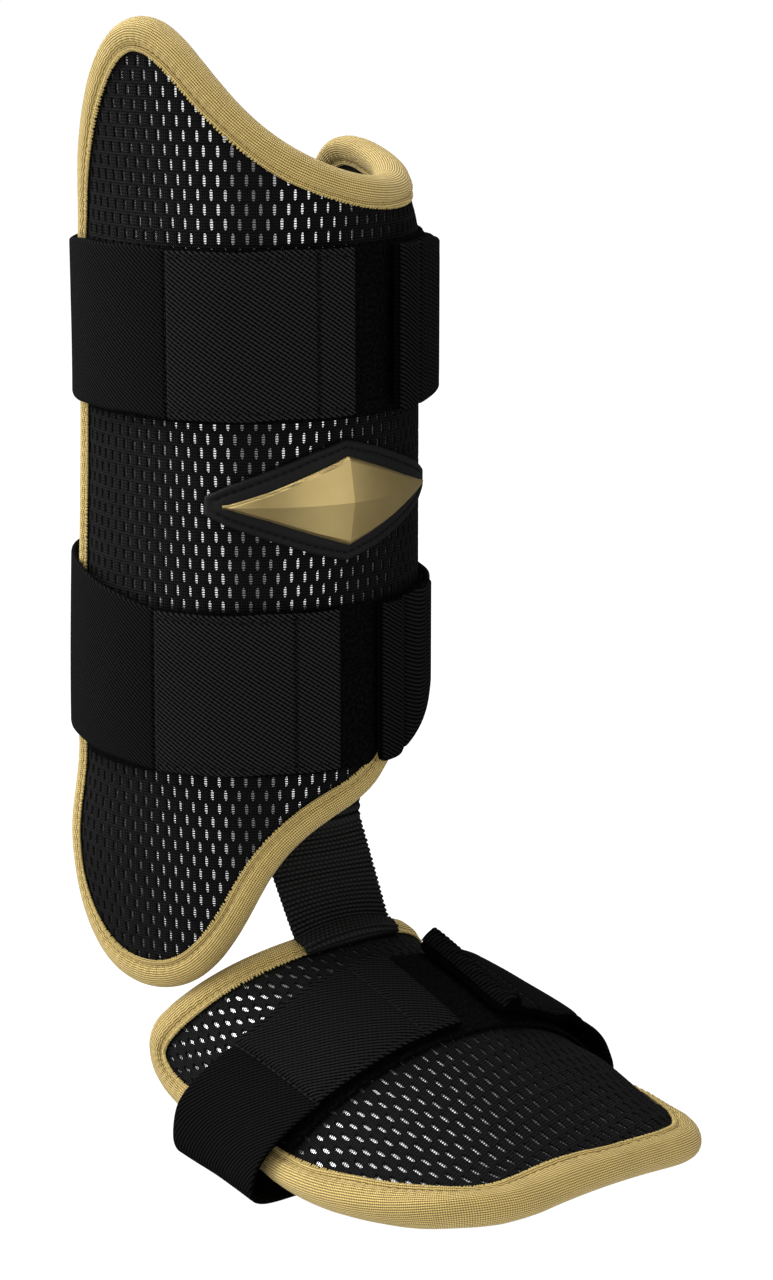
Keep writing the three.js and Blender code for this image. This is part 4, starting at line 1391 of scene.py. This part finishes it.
@dataclass
class FootStrap(Strap):
    """The strap over the dome and under the foot. Its pairs of values are for the left and the right side."""

    tab: float = -1.0
    seam: float = -52.0
    second_seam: float = -14.0
    fold: float = 14.0
    roll: float = 7.0
    roll_middle: float = 2.9
    roll_half: float = 3.6
    fold_seam: float = 32.0
    fold_end: float = 52.0
    leaves: float = 74.0
    rear: float = 67.0
    front: float = 105.0
    rear_sweep: float = 19.0
    under: float = -184.5
    turns: tuple[float, float] = (15.0, 11.0)
    inset: float = 14.0
    width: float = 46.0
    loop_width: float = 44.0
    loop_reach: float = 66.0
    loop_extra: float = 2.0
    loop_columns: int = 44
    rib: float = 1.9
    stitch_size: Size = (1.9, 0.6, 0.5)
    hem: float = 2.0
    seam_depth: float = 0.8
    hem_depth: float = 0.3
    split: float = 1.2
    eases: tuple[float, float] = (40.0, 24.0)
    rear_off: tuple[float, float] = (8.0, 8.0)
    front_off: tuple[float, float] = (3.0, 6.0)
    front_sweep: tuple[float, float] = (12.0, 8.0)

    def span(self, across: Array, share: Array) -> Array:
        """Distance forward at a share of the strap's width, swept back down the sides."""
        sweep = (across / self.leaves) ** 2
        rear = self.rear - self.rear_sweep * sweep
        front = self.front - np.where(across > 0, self.front_sweep[1], self.front_sweep[0]) * sweep
        return rear + (front - rear) * share

    def over(self, across: Array, share: Array) -> tuple[Array, Array]:
        """Points and outward directions on the dome, eased off it toward the sides.

        Args:
            across: arc lengths across, all on one side.
            share: shares of the strap's width.

        Returns:
            The grid's points and directions.
        """
        side = int(across.ravel()[0] > 0)
        u = np.repeat(across[:, None], len(share), 1)
        v = self.span(u, share[None, :])
        off = self.rear_off[side] + (self.front_off[side] - self.rear_off[side]) * share[None, :]
        depth = STRAP_SEAT + off * ramp(self.eases[side], self.leaves, np.abs(u))
        return self.skin.place(u, v, depth), self.skin.outward(u, v)

    def under_turn(self, side: float, t: Array, share: Array) -> tuple[Array, Array]:
        """The turn from the dome to under the foot, along Bezier curves.

        Args:
            side: -1 or 1.
            t: shares of the turn.
            share: shares of the strap's width.

        Returns:
            The grid's points and directions.
        """
        start, outward = (row[0] for row in self.over(np.array([side * self.leaves]), share))
        down = unit(stacked(side * outward[:, 2], 0.0 * outward[:, 0], -np.abs(outward[:, 0])))
        last = stacked(start[:, 0] - side * self.inset, start[:, 1], self.under)
        turn = self.turns[int(side > 0)]
        grid = bezier([start, start + down * turn, last + [side * turn, 0.0, 0.0], last], t)
        s = t[:, None, None]
        return grid, unit(np.broadcast_to(outward, grid.shape) * (1 - s) + np.array([0.0, 0.0, -1.0]) * s)

    def grid(self) -> tuple[Array, Array, Array]:
        """Points, outward directions and the across value along the whole strap, from its tab to its fold."""
        share = spaced(1.0, 0.0125, 0.03)
        lead = np.array([0.0, 0.15, 0.5, 1.0])
        tube = np.array([0.0, 0.12, 0.4, 0.85, 1.4, 2.0, 2.7, 3.4, 4.1, 4.8, 5.5, 6.2])
        left = np.concatenate([self.tab - lead, np.linspace(self.tab - 2.0, -self.leaves, 64)])
        right = np.concatenate([np.linspace(self.leaves, self.fold + 7.0, 56), self.fold + tube[::-1]])
        t = np.linspace(0.0, 1.0, 26)[1:]
        down, back = (self.under_turn(side, t, share) for side in (-1.0, 1.0))
        s = np.linspace(0.0, 1.0, 42)[1:-1][:, None, None]
        middle = down[0][-1] * (1 - s) + back[0][-1] * s
        sole = middle, np.broadcast_to([0.0, 0.0, -1.0], middle.shape)
        up = tuple(row[::-1] for row in back)
        parts = [self.over(left, share), down, sole, up, self.over(right, share)]
        beyond = self.leaves + 9.0
        across = [left, np.full(len(t), -beyond), np.full(len(s), 99.0), np.full(len(t), beyond), right]
        points = softened(np.concatenate([p for p, _ in parts]), 6)
        rough = np.concatenate([d for _, d in parts])
        return points, facing(points, rough), np.concatenate(across)

    def strap(self) -> Shape:
        """The strap with doubled ends, stitched grooves and a ribbed roll at its fold.

        The roll's thickness is half a circle of the distance from the fold. In front of it the edge waves.
        """
        inner, outward, across = self.grid()
        run = middle_run(inner)
        up = running(inner.swapaxes(0, 1)).T
        below = up[:, -1:] - up
        at = across[:, None]
        right = (at > 0).astype(float)
        tab = ramp(self.seam - 1.0, self.seam + 1.0, at) * (1.0 - right)
        doubled = tab + ramp(self.fold_end + 1.0, self.fold_end - 1.0, at) * right
        from_fold = at - self.fold
        circle = 1.0 - ((from_fold - self.roll_middle) / self.roll_half) ** 2
        roll = np.sqrt(np.clip(circle, 0.0, 1.0)) * right
        ribs = 0.22 * roll * np.sin(2.0 * math.pi * up / self.rib)
        bulk = (self.roll - DOUBLED) * roll * (1.4 - 0.5 * up / up[:, -1:])
        thick = ELASTIC + (DOUBLED - ELASTIC) * doubled + bulk + ribs
        seams = ((self.seam, 1.0), (self.second_seam, 0.7), (self.fold_seam, 1.0))
        groove = sum(weight * bell(at - seam, 0.9) for seam, weight in seams)
        hems = (bell(up - self.hem, 0.7) + bell(below - self.hem, 0.7)) * doubled * (1.0 - roll)
        waves = 2.2 * bell(from_fold - 7.0, 8.0) + 0.45 * np.sin(from_fold / 2.2)
        wave = ramp(7.0, 0.0, below) * right * doubled * waves
        tip = np.sqrt(np.clip(1.0 - (1.0 - np.clip((run[-1] - run) / 3.2, 0.0, 1.0)) ** 2, 0.09, 1.0))
        share = self.rims(up, doubled) * (tip * rounding(run, 2.0 * run[-1], 1.6))[:, None]
        thick = thick - self.seam_depth * groove - self.hem_depth * hems
        made = slab(inner + outward * wave[..., None], outward, thick, share, stacked(-run[:, None], up),
                    self.split * doubled)
        # Painted shade: the strap is lighter on the tab, darker off it and darkest at its rims.
        return self.cloth(made, tab, up)

    def stitches(self) -> Shape:
        """Stitches along the grooves across the strap's width."""
        share, sets = np.linspace(0.06, 0.94, 15), []
        for across in (self.seam, self.second_seam, self.fold_seam):
            centre, outward = (row[0] for row in self.over(np.array([across]), share))
            along = unit(self.over(np.array([across]), share + 0.02)[0][0] - centre)
            sets.append(grains(centre + outward * (DOUBLED - 0.45), along, outward, self.stitch_size))
        return joined(sets)

    def loop(self) -> Shape:
        """The fuzzy strip on the dome under the strap."""
        run = spaced(2.0 * self.loop_reach, 1.5, 1.2)
        u = np.repeat((run - self.loop_reach)[:, None], self.loop_columns, 1)
        share, even = spaced(1.0, 0.0272, 0.025), np.linspace(0.0, 1.0, self.loop_columns)
        share = np.interp(even, np.linspace(0.0, 1.0, len(share)), share)[None, :]
        low, high = self.span(u, 0.0 * share), self.span(u, 0.0 * share + 1.0) + self.loop_extra
        return self.pile(u, low + (high - low) * share, run, 13)

    def build(self, shop: Workshop) -> None:
        """Makes the strap's pieces; its flat length is that of its middle line."""
        length = float(middle_run(self.grid()[0])[-1]) * MM
        loop_flat = (self.loop_width * MM, 2.0 * self.loop_reach * MM)
        self.make(shop, "foot", SHADED_FOOT_ELASTIC, loop_flat, (self.width * MM, length))


@dataclass
class Webbing:
    """The band that joins the shin panel and the foot panel."""

    shin: ShinSkin
    foot: FootSkin
    width: float = 36.0
    thickness: float = 1.5
    top: float = -52.0
    leaves: float = -93.0
    top_middle: float = -7.0
    foot_middle: float = 2.0
    lands: float = 45.5
    overlap: float = 1.5
    end_depth: float = 0.6
    straight: float = 0.7
    landing: float = 1.6
    weft: float = 1.45
    warp: float = 1.55
    relief: float = 0.85
    sunk: float = 0.4
    tooth: float = 0.4
    rim_painted_shade: float = 0.5

    @cached_property
    def columns(self) -> Array:
        """Distances across the band."""
        return spaced(1.0, 0.0078, 0.02)

    def grid(self) -> Array:
        """The back face: down the inside of the shin panel, along Bezier curves, and onto the foot panel."""
        side = (self.columns - 0.5) * self.width
        inside = TAPE_INNER - 0.7 - self.thickness
        spread = self.shin.radius / (self.shin.radius + inside)
        height = np.linspace(self.top, self.leaves, 45)[:, None]
        down = (self.top_middle + side)[None, :] * spread + 0.0 * height
        fall = self.shin.place(down, height + 0.0 * side, inside)
        across = self.foot_middle + side
        ends = self.foot.rear(across / self.foot.reach(self.lands)) + TAPE_WIDTH + self.overlap
        onward = np.linspace(0.0, 1.0, 30)[:, None]
        forward = self.lands + (ends - self.lands)[None, :] * onward
        above = self.end_depth + (STRAP_SEAT - self.end_depth) * ramp(0.0, 2.6, ends[None, :] - forward)
        rest = self.foot.place(across[None, :] + 0.0 * onward, forward, above)
        start, last = fall[-1], rest[0]
        lead = last + unit(last - rest[1]) * self.landing
        control = [start, start + (last - start) * self.straight, lead, last]
        return np.concatenate([fall, bezier(control, np.linspace(0.0, 1.0, 170)[1:-1]), rest])

    def band(self) -> Shape:
        """The webbing with its weave: rows of cords, |sin| of the length, each beaded by |sin| of the width.

        The beads of every second row are shifted by half a bead. The edges are toothed by the rows.

        Returns:
            The band, with the weave's height as a value of its points, which paints shade into the grooves.
        """
        grid = self.grid()
        outward = facing(grid, np.broadcast_to([0.0, -1.0, 0.4], grid.shape))
        run = middle_run(grid)[:, None]
        across = (self.columns * self.width)[None, :]
        row = np.abs(np.sin(math.pi * run / self.weft)) ** 0.7
        shift = 0.5 * (np.floor(run / self.weft) % 2.0)
        weave = row * (0.45 + 0.55 * np.abs(np.sin(math.pi * (across / self.warp + shift))))
        teeth = self.tooth * row * np.sign(across - self.width / 2.0)
        rim = bell(np.minimum(across, self.width - across), 0.8)
        grid = grid + unit(np.gradient(grid, axis=1)) * (teeth * rim)[..., None]
        share = rounding(across, self.width, 0.8) * rounding(run, run[-1, 0], 1.0)
        thick = self.thickness - self.sunk + self.relief * weave
        # The weave's height paints shade into the grooves and highlight onto the crowns; the rims take a
        # painted shade of their own.
        return with_painted_shade(slab(grid, outward, thick, share, stacked(run, across)), weave, self.rim_painted_shade)

    def build(self, shop: Workshop) -> None:
        """Makes the webbing."""
        band = shop.piece("ankle_band", self.band(), WEBBING_CLOTH, Slot.WEBBING, "ankle_webbing")
        length = float(middle_run(self.grid())[-1])


@dataclass
class Badge:
    """A gold lozenge with four slopes, on a stitched black backing."""

    skin: ShinSkin
    angle: float = -4.0
    height: float = 12.0
    seat: float = 0.35
    backing_top: float = 2.2
    plate_seat: float = 2.3
    edge: float = 3.4
    bevel: float = 0.9
    ridge: float = 3.6
    peak: float = 6.0
    groove: float = 2.4
    sewn: float = 39.0
    stitch: float = 2.4
    stitch_size: Size = (1.9, 0.55, 0.5)
    reach: float = 43.0
    plate_reach: float = 37.5
    spread: tuple[float, ...] = (-43, -36, -24, -11, 0, 11, 24, 36, 43)
    backing: tuple[float, ...] = (2.8, 6.2, 10.6, 15.4, 18.5, 15.4, 10.6, 6.2, 2.8)
    plate: tuple[float, ...] = (0, 0.6, 4.4, 9.4, 13.5, 9.4, 4.4, 0.6, 0)

    def grid(self, halves: tuple[float, ...], reach: float, rows: int) -> tuple[Array, Array, Array]:
        """A lozenge-shaped grid: across by share of the half height there, straight between the table's rows.

        Args:
            halves: half heights by spread.
            reach: half the length.
            rows: number of rows up the lozenge.

        Returns:
            Across, height and half height.
        """
        across = np.linspace(-reach, reach, 2 * round(reach / 0.9) + 1)[:, None]
        half = np.maximum(np.interp(across, self.spread, halves), 0.3)
        share = np.linspace(-1.0, 1.0, 2 * (rows // 2) + 1)[None, :]
        return across + 0.0 * share, share * half, half

    def slab_at(self, across: Array, up: Array, seat: float, thick: Array, share: Array) -> Shape:
        """A slab on the panel at places measured from the badge's middle."""
        u, v = across + self.angle * self.skin.arc, up + self.height
        return slab(self.skin.place(u, v, seat), self.skin.outward(u, v), thick, share, stacked(u, v))

    def patch(self) -> Shape:
        """The backing, with a groove a little inside its edge."""
        across, up, half = self.grid(self.backing, self.reach, 64)
        inside = np.minimum(half - np.abs(up), self.reach - np.abs(across))
        thick = self.backing_top - self.seat - 0.5 * bell(inside - self.groove, 0.7)
        share = rounding(up + half, 2.0 * half, 0.9) * rounding(across + self.reach, 2.0 * self.reach, 0.9)
        return self.slab_at(across, up, self.seat, thick, share)

    def shield(self) -> Shape:
        """The plate: a bevelled edge, then four slopes to the peak: edge + (ridge - edge)(1 - |y| / half)."""
        across, up, half = self.grid(self.plate, self.plate_reach, 40)
        slope = 1.0 - np.abs(up) / half
        ridge = self.ridge + (self.peak - self.ridge) * half / max(self.plate)
        bevel = self.bevel * ramp(0.0, self.bevel, half - np.abs(up))
        thick = self.edge - 0.7 - self.plate_seat + bevel + (ridge - self.edge) * slope
        return self.slab_at(across, up, self.plate_seat, thick, np.ones_like(up))

    def stitches(self) -> Shape:
        """Stitches along the backing's groove, above and below."""
        sets, step, base = [], 0.6, self.angle * self.skin.arc
        across = np.arange(-self.sewn, self.sewn + 0.1, self.stitch)
        depth = np.full(across.shape, self.backing_top - 0.35)
        for sign in (-1.0, 1.0):
            halves = (np.interp(across + on, self.spread, self.backing) for on in (0.0, step))
            up, ahead = (sign * (half - self.groove) + self.height for half in halves)
            centre = self.skin.place(across + base, up, depth)
            along = unit(self.skin.place(across + base + step, ahead, depth) - centre)
            sets.append(grains(centre, along, self.skin.outward(across + base, up), self.stitch_size))
        return joined(sets)

    def build(self, shop: Workshop) -> None:
        """Makes the backing, its stitches and the plate."""
        shop.piece("badge_patch", self.patch(), BACKING, Slot.BACKING, "badge_backing")
        shop.piece("badge_stitches", self.stitches(), BLACK_THREAD, Slot.BACKING)
        shop.piece("badge_shield", self.shield(), GOLD, Slot.PLATE, "badge_plate", crease=5.0)


# Studio


def aimed(name: str, data: Any, azimuth: float, elevation: float, distance: float, target: Vector) -> Any:
    """A light or camera aimed at a target from some angles and distance.

    Args:
        name: the object's name.
        data: its light or camera data.
        azimuth: angle round from the front.
        elevation: angle above the level.
        distance: distance from the target in metres.
        target: the point that it looks at.

    Returns:
        The object, linked to the scene.
    """
    made = bpy.data.objects.new(name, data)
    a, e = math.radians(azimuth), math.radians(elevation)
    back = Vector((math.sin(a) * math.cos(e), -math.cos(a) * math.cos(e), math.sin(e)))
    made.location = target + back * distance
    made.rotation_mode = "QUATERNION"
    made.rotation_quaternion = (-back).to_track_quat("-Z", "Y")
    bpy.context.scene.collection.objects.link(made)
    return made


@dataclass
class Softbox:
    """A rectangular soft light, aimed at the guard."""

    name: str
    azimuth: float
    elevation: float
    distance: float
    width: float
    height: float
    radiance: float

    def build(self, target: Vector) -> None:
        """Places the light; its power is pi times radiance times area."""
        data = bpy.data.lights.new(self.name, "AREA")
        data.shape = "RECTANGLE"
        data.size, data.size_y = self.width, self.height
        data.energy = math.pi * self.radiance * self.width * self.height
        made = aimed(self.name, data, self.azimuth, self.elevation, self.distance, target)
        made.visible_camera = False


@dataclass
class Studio:
    """Pale floor, soft lights and the camera."""

    azimuth: float = -39.0
    pitch: float = 14.0
    distance: float = 0.9858
    target: tuple[float, float, float] = (0.0338, -0.0274, -0.0424)
    sensor: float = 36.0
    focal_pixels: float = 3100.0
    image_height: float = 1280.0
    floor_height: float = -0.1875
    floor_size: float = 60.0
    surround: float = 0.12
    boxes: tuple[Softbox, ...] = (
        Softbox("left_box", -77.0, 8.0, 2.6, 2.6, 4.2, 1.1),
        Softbox("right_box", 7.0, 8.0, 2.6, 2.3, 4.2, 1.2),
        Softbox("top_box", -168.0, 72.0, 2.5, 2.6, 3.0, 4.8),
        Softbox("rear_box", -138.0, 24.0, 2.4, 1.7, 2.4, 5.2),
    )

    def camera(self) -> None:
        """Sets the camera at the photograph's viewing angle."""
        data = bpy.data.cameras.new("camera")
        data.sensor_width = self.sensor
        data.lens = self.focal_pixels * self.sensor / self.image_height
        data.clip_end = 200.0
        made = aimed("camera", data, self.azimuth, self.pitch, self.distance, Vector(self.target))
        bpy.context.scene.camera = made

    def floor(self) -> None:
        """A wide pale floor that gives off a little light, so that it stays even."""
        corners = [(x * self.floor_size / 2.0, y * self.floor_size / 2.0, self.floor_height)
                   for x, y in ((-1, -1), (1, -1), (1, 1), (-1, 1))]
        mesh = bpy.data.meshes.new("floor")
        mesh.from_pydata(corners, [], [(0, 1, 2, 3)])
        g = Graph("pale_floor")
        mesh.materials.append(g.finish(Base_Color=(0.1, 0.1, 0.1, 1.0), Roughness=1.0, Specular_IOR_Level=0.0,
                                       Emission_Color=(1.0, 1.0, 1.0, 1.0), Emission_Strength=1.0))
        made = bpy.data.objects.new("floor", mesh)
        made.visible_glossy = False
        made.visible_shadow = False
        bpy.context.scene.collection.objects.link(made)

    def light(self) -> None:
        """A dim even surround and the soft lights; colours are shown plainly."""
        world = bpy.data.worlds.new("surround")
        world.use_nodes = True
        back = world.node_tree.nodes["Background"]
        back.inputs[0].default_value = (1.0, 1.0, 1.0, 1.0)
        back.inputs[1].default_value = self.surround
        bpy.context.scene.world = world
        bpy.context.scene.view_settings.view_transform = "Standard"
        for box in self.boxes:
            box.build(Vector(self.target))

    def build(self) -> None:
        """Sets up the whole studio."""
        self.camera()
        self.floor()
        self.light()


def main() -> None:
    """Builds the studio and every sub-assembly in order."""
    logging.basicConfig(level=logging.INFO, format="%(name)s %(message)s")
    shop, shin, foot = Workshop(), ShinSkin(), FootSkin()
    Studio().build()
    Panel("shin", shin, SHIN_SILVER).build(shop)
    Panel("foot", foot, FOOT_SILVER, cover_depth=0.55, plate_outer=-0.68, thread_half=0.15,
          slot_turn=10.0).build(shop)
    Badge(shin).build(shop)
    ShinStrap("upper", shin, low=38.0, high=88.0, tab=-2.3, seam=-61.5, second_seam=-14.7, fold=13.0,
              standoff=1.6, corner=2.0, loop_from=-104.0, loop_to=66.0, neck=2.5).build(shop)
    ShinStrap("lower", shin, low=-70.5, high=-20.5, tab=-8.0, seam=-67.0, second_seam=-22.5, fold=7.0,
              standoff=0.0, corner=24.0, loop_from=-104.0, loop_to=60.0, lean=9.0).build(shop)
    FootStrap("foot", foot).build(shop)
    Webbing(shin, foot).build(shop)


if __name__ == "__main__":
    main()
